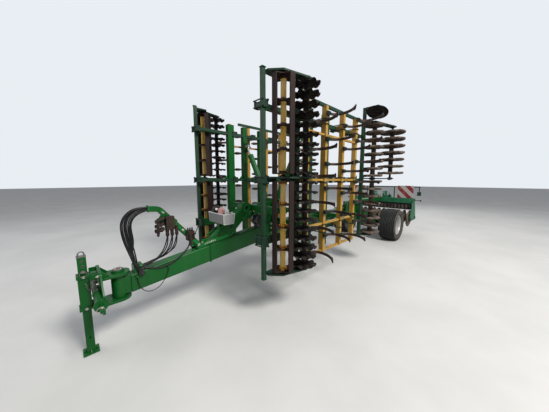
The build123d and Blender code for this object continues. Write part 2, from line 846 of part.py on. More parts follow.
# Tool carriers, left: end and middle plates with the bores for the roller and disc shafts
carrier_zs = ((555, 575), (1665, 1685), (2765, 2785))
rear_carrier_zs = ((580, 600), (1665, 1685), (2700, 2720))
post_rear_y = front_post_y + upright_size / 2
ring_places = ((first_ring_x, first_ring_y), (last_ring_x, last_ring_y))
with BuildPart() as tool_carriers:
    for carrier_z in carrier_zs:
        level_plate(
            [
                (frame_outer_x, post_rear_y),
                (post_outer_x, post_rear_y),
                (cage_x + 55, cage_y - 50),
                (disc_x + 50, disc_y - 20),
                (disc_x + 50, disc_y + 45),
                (disc_x - 50, disc_y + 45),
                (cage_x - 55, cage_y + 50),
                (frame_outer_x, cage_y),
            ],
            carrier_z,
        )
        for shaft_x, shaft_y in ((cage_x, cage_y), (disc_x, disc_y)):
            round_bar(
                (shaft_x, shaft_y, carrier_z[0] - 1),
                (shaft_x, shaft_y, carrier_z[1] + 1),
                shaft_radius + running_gap,
                mode=Mode.SUBTRACT,
            )
    # The lowest plate holds only the first row, and the middle one meets the end of the middle rail
    root_ys = (rail_end_y - rear_upright_size, rail_end_y, rail_end_y - rear_upright_size)
    for carrier_z, rows, root_y in zip(rear_carrier_zs, (1, 2, 2), root_ys):
        shaft_x, shaft_y = ring_places[rows - 1]
        level_plate(
            [
                (frame_outer_x - 30, root_y),
                (frame_outer_x + rear_upright_size, root_y),
                (first_ring_x + 55, first_ring_y - 60),
                (shaft_x + 55, shaft_y),
                (shaft_x + 55, shaft_y + 55),
                (shaft_x - 55, shaft_y + 55),
                (first_ring_x - 55, first_ring_y + 40),
                (frame_outer_x - 30, rail_end_y + 60),
            ],
            carrier_z,
        )
        for shaft_x, shaft_y in ring_places[:rows]:
            round_bar(
                (shaft_x, shaft_y, carrier_z[0] - 1),
                (shaft_x, shaft_y, carrier_z[1] + 1),
                shaft_radius + running_gap,
                mode=Mode.SUBTRACT,
            )
    # Bracket of the end disc, on the top plate: a post, an arm and a tilted stub
    block(
        (post_outer_x - 60, post_outer_x - 10),
        about(rear_upright_y, 50),
        (rear_carrier_zs[2][1], end_arm_z[1]),
    )
    block((post_outer_x - 60, end_disc_x + 30), (rear_upright_y - 25, end_disc_y + 50), end_arm_z)
    round_bar(tuple(end_centre - end_axis * 8), tuple(end_centre + end_axis * 85), end_stub_radius)
save_pair(tool_carriers.part, "tool_carriers")

# End disc, left: a dished disc with its hub on the tilted stub
dish_radius = 180
dish_depth = 26
dish_thickness = 6
hub_width = 40
with BuildPart() as end_disc:
    dish_plane = Plane(origin=tuple(end_centre), x_dir=(1, 0, 0), z_dir=tuple(end_axis))
    with BuildSketch(Plane(origin=tuple(end_centre), x_dir=(1, 0, 0), z_dir=dish_plane.y_dir * -1)) as profile:
        Polygon(
            (30, dish_thickness),
            (dish_radius, -dish_depth),
            (dish_radius - 4, -dish_depth - 4),
            (30, 0),
            align=None,
        )
    revolve(profile.sketch, axis=Axis(tuple(end_centre), tuple(end_axis)), revolution_arc=360)
    round_bar(tuple(end_centre - end_axis * 10), tuple(end_centre + end_axis * (hub_width - 10)), 38)
    round_bar(
        tuple(end_centre - end_axis * 11),
        tuple(end_centre + end_axis * hub_width),
        end_stub_radius + running_gap,
        mode=Mode.SUBTRACT,
    )
save_pair(end_disc.part, "end_disc")

# Cage rollers, left: a yellow tube with rings and flat bars in two sections, end to end
cage_tube_radius = 33
cage_radius = 138
cage_bars = 6
cage_phase = -16.5
cage_tube_sides = 16
cage_bar = (60, 8)
cage_ring_count = 5
cage_ring_thickness = 10
end_play = 1
side_clearance = 30
sections = (
    ("lower", carrier_zs[0], carrier_zs[1]),
    ("upper", carrier_zs[1], carrier_zs[2]),
)


def shaft_span(low_plate, high_plate):
    """The ends of a shaft that sits in the halves of two carrier plates facing it."""
    return (sum(low_plate) / 2 + end_play, sum(high_plate) / 2 - end_play)


for section, low_plate, high_plate in sections:
    shaft_ends = shaft_span(low_plate, high_plate)
    bottom, top = low_plate[1] + side_clearance, high_plate[0] - side_clearance
    ring_step = (top - bottom - cage_ring_thickness) / (cage_ring_count - 1)
    with BuildPart() as cage_roller:
        round_bar((cage_x, cage_y, shaft_ends[0]), (cage_x, cage_y, shaft_ends[1]), shaft_radius)
        with BuildSketch(Plane.XY.offset(bottom)):
            with Locations((cage_x, cage_y)):
                RegularPolygon(cage_tube_radius, cage_tube_sides)
        extrude(amount=top - bottom)
        for number in range(cage_ring_count):
            with BuildSketch(Plane.XY.offset(bottom + number * ring_step)):
                with Locations((cage_x, cage_y)):
                    RegularPolygon(cage_radius - 6, cage_bars, rotation=cage_phase)
            extrude(amount=cage_ring_thickness)
        with BuildSketch(Plane.XY.offset(bottom)):
            with Locations((cage_x, cage_y)):
                with PolarLocations(cage_radius - cage_bar[1] / 2, cage_bars, start_angle=cage_phase):
                    Rectangle(cage_bar[1], cage_bar[0])
        extrude(amount=top - bottom)
    save_pair(cage_roller.part, f"{section}_cage_roller")

# Disc roller, left: notched discs on one shaft
disc_radius = 155
notch_radius = 130
notch_count = 9
disc_thickness_cut = 7
disc_count = 20
disc_tube_radius = 38
tube_sides = 12
with BuildPart() as disc_roller:
    low_end, high_end = shaft_span(carrier_zs[0], carrier_zs[2])
    round_bar((disc_x, disc_y, low_end), (disc_x, disc_y, high_end), shaft_radius)
    first_disc_z = carrier_zs[0][1] + 45
    last_disc_z = carrier_zs[2][0] - 45
    disc_step = (last_disc_z - first_disc_z) / (disc_count - 1)
    notch = 360 / notch_count
    rim_points = [
        (disc_x + radius * cos(radians(angle)), disc_y + radius * sin(radians(angle)))
        for number in range(notch_count)
        for radius, angle in (
            (disc_radius, number * notch - 11),
            (disc_radius, number * notch + 11),
            (notch_radius, (number + 0.5) * notch),
        )
    ]
    for number in range(disc_count):
        disc_z = first_disc_z + number * disc_step
        level_plate(rim_points, about(disc_z, disc_thickness_cut))
    # Spacer tube in two lengths, clear of the middle plate
    for low, high in ((carrier_zs[0][1], carrier_zs[1][0]), (carrier_zs[1][1], carrier_zs[2][0])):
        with BuildSketch(Plane.XY.offset(low + 5)) as spacer:
            with Locations((disc_x, disc_y)):
                RegularPolygon(disc_tube_radius, tube_sides)
        extrude(spacer.sketch, amount=high - low - 10)
save_pair(disc_roller.part, "disc_roller")

# Ring rollers, left: closed rings on a tube, one row on the inner half and two on the outer half
first_ring_radius = 185
last_ring_radius = 248
ring_thickness = 28
ring_sides = 20
ring_tube_radius = 45


def ring_gang(origin, direction, rings, radius, margins, shaft_length):
    """A tube with a shaft and evenly spaced rings along a direction from its low end."""
    origin, direction = Vector(*origin), Vector(*direction)
    first, last = margins
    round_bar(tuple(origin), tuple(origin + direction * shaft_length), shaft_radius)
    with BuildSketch(Plane(origin=tuple(origin + direction * (first - 12)), z_dir=direction)) as core:
        RegularPolygon(ring_tube_radius, tube_sides)
    extrude(core.sketch, amount=last - first + 24)
    for number in range(rings):
        place = first + (last - first) * number / (rings - 1) - ring_thickness / 2
        with BuildSketch(Plane(origin=tuple(origin + direction * place), z_dir=direction)) as profile:
            RegularPolygon(radius, ring_sides)
        extrude(profile.sketch, amount=ring_thickness)


# Columns: name, row, lower plate, upper plate, ring radius, rings, shorter by
ring_rows = (
    ("inner_ring_roller", 0, rear_carrier_zs[0], rear_carrier_zs[1], first_ring_radius, 8, 0),
    ("outer_ring_roller", 0, rear_carrier_zs[1], rear_carrier_zs[2], first_ring_radius, 8, 0),
    ("last_ring_roller", 1, rear_carrier_zs[1], rear_carrier_zs[2], last_ring_radius, 7, 60),
)
for name, row, low_plate, high_plate, radius, ring_count, offset_z in ring_rows:
    low_end, high_end = shaft_span(low_plate, high_plate)
    row_x, row_y = ring_places[row]
    with BuildPart() as ring_roller:
        ring_gang(
            (row_x, row_y, low_end),
            (0, 0, 1),
            ring_count,
            radius,
            (low_plate[1] - low_end + 45 + offset_z, high_plate[0] - low_end - 45 - offset_z),
            high_end - low_end,
        )
    save_pair(ring_roller.part, name)

# Rear rollers behind the wheels, two rows with staggered rings
rear_rows = (("front_centre_roller", centre_row_ys[0], 13, 0), ("rear_centre_roller", centre_row_ys[1], 12, 75))
for name, row_y, ring_count, offset_x in rear_rows:
    shaft_half = rear_half + end_plate - 2
    with BuildPart() as centre_roller:
        ring_gang(
            (-shaft_half, row_y, rear_axis_z),
            (1, 0, 0),
            ring_count,
            centre_ring_radius,
            (60 + offset_x, 2 * shaft_half - 60 - offset_x),
            2 * shaft_half,
        )
    save(centre_roller.part, name)


# Hose clamp: a saddle on the drawbar's nose that gathers the lines
clamp_y = (-3440, -3360)
clamp_top_z = 765
side_x = main_beam_width / 2
cable_clips = ((-3420, 640), (-3110, 660))
with BuildPart() as hose_clamp:
    block(about(0, 130), clamp_y, (drawbar_top(clamp_y[0]) - 10, clamp_top_z))
    fillet(hose_clamp.edges().filter_by(Axis.Y).sort_by(Axis.Z)[-2:], 20)
    add(drawbar.part, mode=Mode.SUBTRACT)
    # Two clips for the cable on the drawbar's left side
    for clip_y, clip_z in cable_clips:
        block((side_x, side_x + 24), about(clip_y, 24), (clip_z, clip_z + 24))
save(hose_clamp.part, "hose_clamp")


def cord_tube(points, diameter, name):
    """A line of straight runs joined by tangent arcs, each as large as its two runs allow."""
    stations = [Vector(*point) for point in points]
    radii = []
    for before, corner, after in zip(stations, stations[1:], stations[2:]):
        run_in, run_out = corner - before, after - corner
        turn = radians(run_in.get_angle(run_out))
        radii.append(0.45 * min(run_in.length, run_out.length) / tan(turn / 2))
    with BuildLine() as route:
        FilletPolyline(*points, radius=radii)
    with BuildSketch(Plane(origin=points[0], z_dir=(stations[1] - stations[0]).normalized())) as section:
        Circle(diameter / 2)
    sweep(section.sketch, path=route.line)
    length = sum(edge.length for edge in route.edges())
    volume = length * pi * (diameter / 2) ** 2
    print(name, "length", round(length), "radii", [round(radius) for radius in radii], "volume", round(volume))


# Lines: the thick bundle from the arm's tip to the clamp, three single hoses from the couplers,
# the return hose along the drawbar, and the thin cable that hangs under the nose
bundle_diameter = 50
hose_diameter = 20
cable_diameter = 8
socket_x = sum(coupler_x) / 2
socket_z = coupler_z - 160
clip_x = side_x + 12
line_table = (
    (
        "hose_bundle",
        bundle_diameter,
        (
            (0, arm_tip_y, arm_top_z + 10),
            (0, arm_tip_y - 90, arm_top_z + 10),
            (0, -3440, 1294),
            (0, -3486, 1214),
            (0, -3486, 1112),
            (0, -3464, 990),
            (0, -3434, 872),
            (0, -3412, clamp_top_z),
        ),
    ),
    (
        "supply_hose_1",
        hose_diameter,
        (
            (socket_x, socket_ys[0], socket_z),
            (socket_x - 4, -3112, 925),
            (socket_x - 14, -3160, 835),
            (55, -3245, 770),
            (45, -3310, 739),
            (45, clamp_y[1], 735),
        ),
    ),
    (
        "supply_hose_2",
        hose_diameter,
        (
            (socket_x, socket_ys[1], socket_z),
            (socket_x - 4, -3062, 905),
            (socket_x - 20, -3130, 820),
            (36, -3225, 768),
            (15, -3300, 739),
            (15, clamp_y[1], 735),
        ),
    ),
    (
        "supply_hose_3",
        hose_diameter,
        (
            (socket_x, socket_ys[2], socket_z),
            (socket_x - 6, -3014, 900),
            (socket_x - 30, -3090, 815),
            (8, -3200, 772),
            (-15, -3290, 741),
            (-15, clamp_y[1], 735),
        ),
    ),
    (
        "return_hose",
        hose_diameter,
        (
            (side_x - 5, clamp_y[1], 722),
            (side_x + 8, -3300, 712),
            (side_x + 22, -3210, 690),
            (side_x + 24, -3100, 700),
            (side_x + 22, -3000, 745),
            (side_x + 12, -2920, 800),
            (valve_hose_x + 4, -2858, 860),
            (valve_hose_x, valve_y, valve_z[0]),
        ),
    ),
    (
        "lamp_cable",
        cable_diameter,
        (
            (clip_x, cable_clips[0][0], cable_clips[0][1]),
            (86, -3418, 585),
            (90, -3398, 520),
            (94, -3355, 468),
            (95, -3290, 450),
            (94, -3225, 472),
            (90, -3170, 525),
            (86, -3125, 590),
            (clip_x, cable_clips[1][0], cable_clips[1][1]),
        ),
    ),
)
for name, diameter, points in line_table:
    with BuildPart() as line:
        cord_tube(points, diameter, name)
    save(line.part, name)
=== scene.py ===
from math import cos, hypot, pi, radians, sin, tau

import bmesh
import bpy
from mathutils import Matrix, Vector, noise


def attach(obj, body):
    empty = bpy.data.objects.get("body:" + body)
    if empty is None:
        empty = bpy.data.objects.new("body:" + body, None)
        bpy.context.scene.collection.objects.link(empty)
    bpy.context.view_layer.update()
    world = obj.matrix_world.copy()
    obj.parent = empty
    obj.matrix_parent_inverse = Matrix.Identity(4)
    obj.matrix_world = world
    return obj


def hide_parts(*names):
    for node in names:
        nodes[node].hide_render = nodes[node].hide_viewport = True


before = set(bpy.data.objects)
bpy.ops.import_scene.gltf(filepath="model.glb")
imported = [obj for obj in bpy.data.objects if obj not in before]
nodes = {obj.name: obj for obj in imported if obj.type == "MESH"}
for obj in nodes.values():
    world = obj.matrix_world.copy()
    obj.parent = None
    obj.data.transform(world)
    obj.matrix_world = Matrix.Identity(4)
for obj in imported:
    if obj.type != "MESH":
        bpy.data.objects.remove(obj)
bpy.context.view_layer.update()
scene = bpy.context.scene

# Places of the solid model, in metres
BEAM_YS = (-1.650, -1.230, -0.750, -0.320)
RAIL_ZS = (0.950, 1.650, 2.450)
FIRST_TINE_ZS = (0.680, 0.850, 0.765, 0.935)
TINE_PITCH, TINE_COUNT = 0.340, 6
CAGE = (0.940, -2.130)
DISC, DISC_COUNT = (1.020, -1.835), 20
RING_PLACES = ((0.940, 0.350, 0.185), (1.060, 0.950, 0.248))
WHEEL = (0.680, 2.500, 0.430)
CENTRE_ROWS, CENTRE_RADIUS, ROLLER_Z = (3.220, 3.670), 0.220, 0.510
HINGE_X, HINGE_YS, HINGE_Z = 0.580, (-1.250, -0.120), 0.950
BASE_PIN = (0.100, -1.420, 1.280)
FOLD_TIP = (0.640, -1.420, 2.250)
LIFT_BASE, LIFT_TIP = (0.140, 0.900, 1.060), (0.140, 1.700, 1.060)
DRAWBAR_END, DRAWBAR_RISE = -3.470, 0.139
SIDES = (("left", 1), ("right", -1))
BOTH = (-1, 1)
ACROSS, ALONG, FORWARD, UP, DOWN = (1, 0, 0), (0, 1, 0), (0, -1, 0), (0, 0, 1), (0, 0, -1)


def new_object(name, data):
    made = bpy.data.objects.new(name, data)
    scene.collection.objects.link(made)
    return made


# Camera at the photograph's place: 1.65 m high, looking back and to the machine's right, tipped down
CAMERA_PLACE = (2.590, -3.870, 1.650)
CAMERA_WAY, CAMERA_TIP = (-0.7168, 0.6975), radians(7)
camera_data = bpy.data.cameras.new("view")
camera_data.sensor_width = 36.0
camera_data.lens = 13.97
camera_data.clip_start, camera_data.clip_end = 0.05, 200.0
camera = new_object("view", camera_data)
camera.location = CAMERA_PLACE
look = Vector((CAMERA_WAY[0] * cos(CAMERA_TIP), CAMERA_WAY[1] * cos(CAMERA_TIP), -sin(CAMERA_TIP)))
camera.rotation_mode = "QUATERNION"
camera.rotation_quaternion = look.to_track_quat("-Z", "Y")
scene.camera = camera


# Materials
def node_tree(name):
    material = bpy.data.materials.new(name)
    material.use_nodes = True
    tree = material.node_tree
    return material, tree, tree.nodes["Principled BSDF"]


class Tree:
    """Short calls that add shader nodes and link them."""

    def __init__(self, tree):
        self.tree = tree
        self.place = tree.nodes.new("ShaderNodeTexCoord").outputs["Object"]

    def put(self, target, value):
        if isinstance(value, bpy.types.NodeSocket):
            self.tree.links.new(value, target)
        else:
            target.default_value = value

    def add(self, kind, **values):
        """A new node with values or links in the inputs named."""
        made = self.tree.nodes.new("ShaderNode" + kind)
        for name, value in values.items():
            self.put(made.inputs[name.replace("_", " ")], value)
        return made

    def noise(self, scale, detail=4.0, rough=0.6, stretch=None):
        source = self.place
        if stretch:
            source = self.add("Mapping", Scale=stretch, Vector=source).outputs["Vector"]
        return self.add("TexNoise", Scale=scale, Detail=detail, Roughness=rough, Vector=source).outputs["Fac"]

    def ramp(self, value, low, high):
        made = self.add("MapRange", Value=value, From_Min=low, From_Max=high)
        made.interpolation_type = "SMOOTHSTEP"
        return made.outputs["Result"]

    def scaled(self, value, low, high):
        return self.add("MapRange", Value=value, To_Min=low, To_Max=high).outputs["Result"]

    def math(self, operation, first, second):
        made = self.add("Math")
        made.operation = operation
        self.put(made.inputs[0], first)
        self.put(made.inputs[1], second)
        return made.outputs[0]

    def times(self, first, second):
        return self.math("MULTIPLY", first, second)

    def mix(self, factor, first, second):
        made = self.add("Mix")
        made.data_type = "RGBA"
        self.put(made.inputs["Factor"], factor)
        for socket, value in ((made.inputs["A"], first), (made.inputs["B"], second)):
            if not isinstance(value, bpy.types.NodeSocket):
                value = (*value, 1.0)
            self.put(socket, value)
        return made.outputs["Result"]

    def up(self):
        """How far a surface faces up, from 0 to 1."""
        normal = self.add("NewGeometry").outputs["Normal"]
        return self.ramp(self.add("SeparateXYZ", Vector=normal).outputs["Z"], 0.2, 0.9)

    def edges(self, radius):
        """A mask that is 1 on the edges of a solid, and the normal that rounds them."""
        bevel = self.add("Bevel", Radius=radius)
        bevel.samples = 4
        dot = self.add("VectorMath")
        dot.operation = "DOT_PRODUCT"
        self.put(dot.inputs[0], bevel.outputs["Normal"])
        self.put(dot.inputs[1], self.add("NewGeometry").outputs["Normal"])
        return self.ramp(dot.outputs["Value"], 0.985, 0.93), bevel.outputs["Normal"]

    def bump(self, height, strength, distance, normal=None):
        made = self.add("Bump", Strength=strength, Distance=distance, Height=height)
        if normal is not None:
            self.put(made.inputs["Normal"], normal)
        return made.outputs["Normal"]


def paint(name, base, faded, dust, worn_colour, fade, dusty, wear, rough, metallic):
    """Paint over steel: two shades, dust in patches and on what faces up, and worn edges and spots."""
    material, tree, shader = node_tree(name)
    t = Tree(tree)
    patches = t.ramp(t.noise(2.2, 6.0, 0.65), 0.35, 0.7)
    colour = t.mix(t.times(patches, fade), base, faded)
    streaks = t.ramp(t.noise(9.0, 5.0, 0.7, (1.0, 1.0, 0.25)), 0.45, 0.75)
    lying = t.math("ADD", t.times(t.up(), 0.6), 0.35)
    colour = t.mix(t.times(t.times(streaks, lying), dusty), colour, dust)
    corner, soft = t.edges(0.004)
    chips = t.ramp(t.noise(38.0, 6.0, 0.7), 0.46, 0.60)
    spots = t.ramp(t.noise(16.0, 8.0, 0.75), 0.66, 0.74)
    worn = t.times(t.math("MAXIMUM", t.times(corner, chips), t.times(spots, 0.8)), wear)
    t.put(shader.inputs["Base Color"], t.mix(worn, colour, worn_colour))
    uneven = t.scaled(t.noise(6.0), rough - 0.1, rough + 0.12)
    t.put(shader.inputs["Roughness"], t.math("ADD", uneven, t.times(worn, 0.3)))
    shader.inputs["Metallic"].default_value = metallic
    grain = t.math("SUBTRACT", t.noise(140.0, 3.0), t.times(worn, 0.8))
    t.put(shader.inputs["Normal"], t.bump(grain, 0.25, 0.0012, soft))
    shader.inputs["Specular IOR Level"].default_value = 0.25
    return material


def metal(name, base, spots, rough, metallic, amount, scale, bump):
    """Bare steel or iron with a second colour in patches."""
    material, tree, shader = node_tree(name)
    t = Tree(tree)
    mask = t.times(t.ramp(t.noise(scale, 8.0, 0.7), 0.42, 0.62), amount)
    t.put(shader.inputs["Base Color"], t.mix(mask, base, spots))
    uneven = t.scaled(t.noise(12.0), rough - 0.08, rough + 0.1)
    t.put(shader.inputs["Roughness"], t.math("ADD", uneven, t.times(mask, 0.35)))
    t.put(shader.inputs["Metallic"], t.times(t.math("SUBTRACT", 1.0, mask), metallic))
    soft = t.edges(0.002)[1]
    t.put(shader.inputs["Normal"], t.bump(t.noise(90.0, 5.0), bump, 0.002, soft))
    shader.inputs["Specular IOR Level"].default_value = 0.3
    return material


def rubber(name, base, dust, amount, rough, scale):
    material, tree, shader = node_tree(name)
    t = Tree(tree)
    mask = t.times(t.ramp(t.noise(scale, 6.0, 0.7), 0.4, 0.75), amount)
    t.put(shader.inputs["Base Color"], t.mix(mask, base, dust))
    t.put(shader.inputs["Roughness"], t.scaled(t.noise(30.0), rough - 0.12, rough + 0.1))
    t.put(shader.inputs["Normal"], t.bump(t.noise(160.0, 4.0), 0.2, 0.001))
    shader.inputs["Specular IOR Level"].default_value = 0.25
    return material


def plain(name, base, rough, coat):
    material, tree, shader = node_tree(name)
    t = Tree(tree)
    mask = t.times(t.ramp(t.noise(14.0, 5.0), 0.45, 0.8), 0.35)
    t.put(shader.inputs["Base Color"], t.mix(mask, base, tuple(c * 0.7 for c in base)))
    shader.inputs["Roughness"].default_value = rough
    shader.inputs["Coat Weight"].default_value = coat
    return material


def striped(name, red, white, width, shift):
    """Diagonal stripes that lean outwards and down on each board."""
    material, tree, shader = node_tree(name)
    t = Tree(tree)
    split = t.add("SeparateXYZ", Vector=t.place)
    across = t.math("ABSOLUTE", split.outputs["X"], 0.0)
    lean = t.math("ADD", across, split.outputs["Z"])
    phase = t.math("FRACT", t.times(t.math("ADD", lean, shift), 1.0 / width), 0.0)
    dirt = t.times(t.ramp(t.noise(12.0, 6.0), 0.4, 0.8), 0.45)
    colour = t.mix(t.ramp(phase, 0.49, 0.51), red, white)
    t.put(shader.inputs["Base Color"], t.mix(dirt, colour, (0.28, 0.22, 0.18)))
    shader.inputs["Roughness"].default_value = 0.35
    return material


DUST, RUST = (0.30, 0.27, 0.22), (0.105, 0.040, 0.018)
PAINTS = (
    # key, name, base, faded, dust, worn places,
    # then the shares of faded paint, dust and wear, roughness, metallic
    ("green", "green", (0.0015, 0.070, 0.009), (0.003, 0.102, 0.016), DUST, (0.030, 0.030, 0.018),
     0.6, 0.07, 0.35, 0.36, 0.0),
    ("bright", "bright_green", (0.003, 0.125, 0.018), (0.007, 0.170, 0.032), DUST, (0.04, 0.04, 0.025),
     0.5, 0.08, 0.25, 0.34, 0.0),
    ("dark", "dark_green", (0.004, 0.022, 0.012), (0.010, 0.038, 0.022), DUST, RUST,
     0.6, 0.12, 0.45, 0.5, 0.0),
    ("tube", "tube_yellow", (0.74, 0.44, 0.07), (0.80, 0.60, 0.28), (0.20, 0.13, 0.08), (0.070, 0.026, 0.015),
     0.8, 0.45, 0.9, 0.5, 0.0),
    ("dustygreen", "dusty_green", (0.006, 0.100, 0.036), (0.040, 0.150, 0.090), (0.13, 0.17, 0.15),
     (0.02, 0.03, 0.02), 0.9, 0.60, 0.5, 0.5, 0.0),
    ("dish", "rim_dish", (0.075, 0.075, 0.072), (0.12, 0.12, 0.115), (0.11, 0.095, 0.08), (0.07, 0.05, 0.035),
     0.6, 0.4, 0.5, 0.5, 0.2),
    ("yellow", "yellow", (0.36, 0.195, 0.020), (0.38, 0.255, 0.09), (0.16, 0.10, 0.055),
     (0.070, 0.026, 0.015), 0.7, 0.62, 1.0, 0.5, 0.0),
    ("wing", "wing_green", (0.0045, 0.033, 0.013), (0.018, 0.052, 0.031), DUST, (0.04, 0.028, 0.020),
     0.8, 0.16, 0.55, 0.5, 0.0),
    ("cagebar", "cage_rust", (0.011, 0.0045, 0.0035), (0.026, 0.010, 0.007), (0.07, 0.045, 0.032),
     (0.030, 0.012, 0.008), 0.9, 0.20, 0.6, 0.62, 0.0),
    ("rustbrown", "rust_brown", (0.020, 0.008, 0.006), (0.045, 0.018, 0.013), (0.09, 0.06, 0.045),
     (0.014, 0.008, 0.007), 0.9, 0.25, 0.6, 0.7, 0.0),
    ("yellowrust", "yellow_rusted", (0.50, 0.23, 0.02), (0.30, 0.13, 0.03), (0.10, 0.05, 0.03),
     (0.06, 0.022, 0.014), 0.9, 0.6, 1.0, 0.7, 0.0),
    ("black", "black_paint", (0.012, 0.012, 0.014), (0.03, 0.03, 0.033), DUST, RUST,
     0.5, 0.25, 0.2, 0.4, 0.0),
    # The tray's grey in a lighter and a darker copy: painted light on its +X face, painted shade on its other
    # faces
    ("sheet", "pale_sheet", (0.34, 0.35, 0.35), (0.44, 0.45, 0.45), DUST, (0.12, 0.07, 0.05),
     0.6, 0.3, 0.45, 0.45, 0.0),
    ("tray", "grey_tray", (0.175, 0.18, 0.175), (0.24, 0.245, 0.235), DUST, (0.12, 0.07, 0.05),
     0.6, 0.3, 0.45, 0.45, 0.0),
    ("silver", "silver_rim", (0.40, 0.40, 0.39), (0.50, 0.50, 0.48), (0.20, 0.18, 0.15), (0.09, 0.055, 0.035),
     0.6, 0.35, 0.45, 0.42, 0.3),
)
METALS = (
    # key, name, base, spots, roughness, metallic, amount of spots, scale of spots, bump
    ("tine", "tine_steel", (0.035, 0.030, 0.030), (0.085, 0.038, 0.022), 0.5, 0.35, 0.75, 14.0, 0.4),
    ("disc", "disc_steel", (0.008, 0.0075, 0.008), (0.028, 0.016, 0.011), 0.55, 0.25, 0.6, 18.0, 0.4),
    ("share", "share_steel", (0.22, 0.20, 0.19), (0.09, 0.045, 0.028), 0.35, 0.8, 0.7, 30.0, 0.5),
    ("iron", "soiled_iron", (0.048, 0.034, 0.027), (0.165, 0.130, 0.098), 0.8, 0.08, 0.95, 13.0, 0.9),
    ("chrome", "chromed", (0.62, 0.62, 0.64), (0.30, 0.27, 0.24), 0.14, 1.0, 0.15, 30.0, 0.05),
    ("zinc", "zinc_bolts", (0.50, 0.50, 0.48), (0.30, 0.24, 0.17), 0.35, 0.8, 0.6, 60.0, 0.2),
    ("steel", "greased_steel", (0.22, 0.21, 0.20), (0.07, 0.045, 0.03), 0.4, 0.8, 0.7, 25.0, 0.3),
    ("brown", "dirty_brown", (0.014, 0.0095, 0.008), (0.050, 0.028, 0.018), 0.6, 0.1, 0.7, 25.0, 0.7),
    ("pipe", "plated_pipe", (0.18, 0.18, 0.16), (0.05, 0.045, 0.035), 0.35, 0.8, 0.6, 30.0, 0.2),
)
RUBBERS = (
    # key, name, base, dust, amount of dust, roughness, scale of dust
    ("hose", "hose_rubber", (0.006, 0.006, 0.007), (0.05, 0.045, 0.04), 0.35, 0.42, 10.0),
    ("tyre", "tyre_rubber", (0.0030, 0.0030, 0.0034), (0.016, 0.014, 0.012), 0.40, 0.8, 7.0),
    ("ribs", "tyre_ribs", (0.024, 0.025, 0.026), (0.062, 0.060, 0.056), 0.50, 0.8, 7.0),
    ("sidewall", "tyre_wall", (0.050, 0.047, 0.041), (0.135, 0.125, 0.105), 0.60, 0.85, 7.0),
)
PLAINS = (
    # key, name, base, roughness, coat
    ("red_lens", "red_lens", (0.45, 0.01, 0.01), 0.2, 0.6),
    ("amber_lens", "amber_lens", (0.60, 0.16, 0.01), 0.2, 0.6),
    ("rag", "pink_cloth", (0.55, 0.30, 0.28), 0.9, 0.0),
    ("redrag", "red_cloth", (0.42, 0.05, 0.05), 0.9, 0.0),
    # dark plates on the strut's sides: painted shade standing for openings
    ("cavity", "dark_cavity", (0.010, 0.014, 0.011), 0.9, 0.0),
    ("plate", "pale_plate", (0.62, 0.62, 0.60), 0.5, 0.0),
    # near white for the painted highlight cap on the tray's ball
    ("white", "white_cap", (0.88, 0.88, 0.86), 0.3, 0.0),
)
MAT = {"stripes": striped("stripes", (0.16, 0.005, 0.008), (0.36, 0.32, 0.31), 0.283, 10.0)}
for maker, table in ((paint, PAINTS), (metal, METALS), (rubber, RUBBERS), (plain, PLAINS)):
    for key, *values in table:
        MAT[key] = maker(*values)


# Mesh tools
def finish_piece(bm, name, body, material, bevel=0.0, smooth=35.0, slot=None):
    """Turns a bmesh into a piece that rides on a body."""
    mesh = bpy.data.meshes.new(name)
    bmesh.ops.recalc_face_normals(bm, faces=bm.faces)
    bm.to_mesh(mesh)
    bm.free()
    made = new_object(name, mesh)
    mesh.materials.append(MAT[material])
    mesh.shade_smooth()
    mesh.set_sharp_from_angle(angle=radians(smooth))
    if bevel:
        edge = made.modifiers.new("edge", "BEVEL")
        edge.width = bevel
        edge.segments = 2
        edge.limit_method = "ANGLE"
        edge.angle_limit = radians(40)
    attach(made, body)
    return made


def single(name, body, material, build, replaces=None, **options):
    bm = bmesh.new()
    build(bm)
    piece = finish_piece(bm, name, body, material, **options)
    if replaces:
        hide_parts(replaces)
    return piece


def pair(name, body, material, build, replaces=None, **options):
    """A piece built for the left wing and its mirror image on the right."""
    made = []
    for side, sign in SIDES:
        def placed(bm):
            build(bm)
            if sign < 0:
                bmesh.ops.scale(bm, vec=(-1.0, 1.0, 1.0), verts=bm.verts)
        own = f"{side}_{replaces}" if replaces else None
        made.append(single(f"{side}_{name}", f"{side}_{body}", material, placed, own, **options))
    return made


def basis(direction):
    """A rotation that takes Z to a direction."""
    return Vector(direction).normalized().to_track_quat("Z", "Y").to_matrix().to_4x4()


def add_box(bm, centre, size, turn=None):
    place = Matrix.Translation(centre) @ (turn or Matrix()) @ Matrix.Diagonal((*size, 1.0))
    bmesh.ops.create_cube(bm, size=1.0, matrix=place)


def add_bar(bm, start, end, radius, sides=16, end_radius=None):
    start, end = Vector(start), Vector(end)
    way = end - start
    bmesh.ops.create_cone(
        bm,
        cap_ends=True,
        segments=sides,
        radius1=radius,
        radius2=radius if end_radius is None else end_radius,
        depth=way.length,
        matrix=Matrix.Translation((start + end) / 2) @ basis(way),
    )


def add_stack(bm, place, axis, *rows):
    """Bars on one axis; a row gives the two ends along it, the radius and the sides."""
    place, axis = Vector(place), Vector(axis).normalized()
    for low, high, radius, sides in rows:
        add_bar(bm, place + axis * low, place + axis * high, radius, sides)


def add_bolt(bm, place, axis, size=0.024):
    """A hexagon head on a washer, whose seat is at the place."""
    top, end = 0.003 + size * 0.5, 0.003 + size * 0.8
    washer, head, stud = (size * 0.75, 14), (size * 0.54, 6), (size * 0.27, 10)
    add_stack(bm, place, axis, (-0.001, 0.003, *washer), (0.003, top, *head), (top, end, *stud))


def skin(bm, rows, ring=False):
    """Faces between closed rows of points; a ring has no ends, anything else is filled at both."""
    for here, after in zip(rows, rows[1:] + rows[:1] if ring else rows[1:]):
        for i in range(len(here)):
            j = (i + 1) % len(here)
            bm.faces.new((here[i], here[j], after[j], after[i]))
    if not ring:
        bm.faces.new(rows[0])
        bm.faces.new(rows[-1])


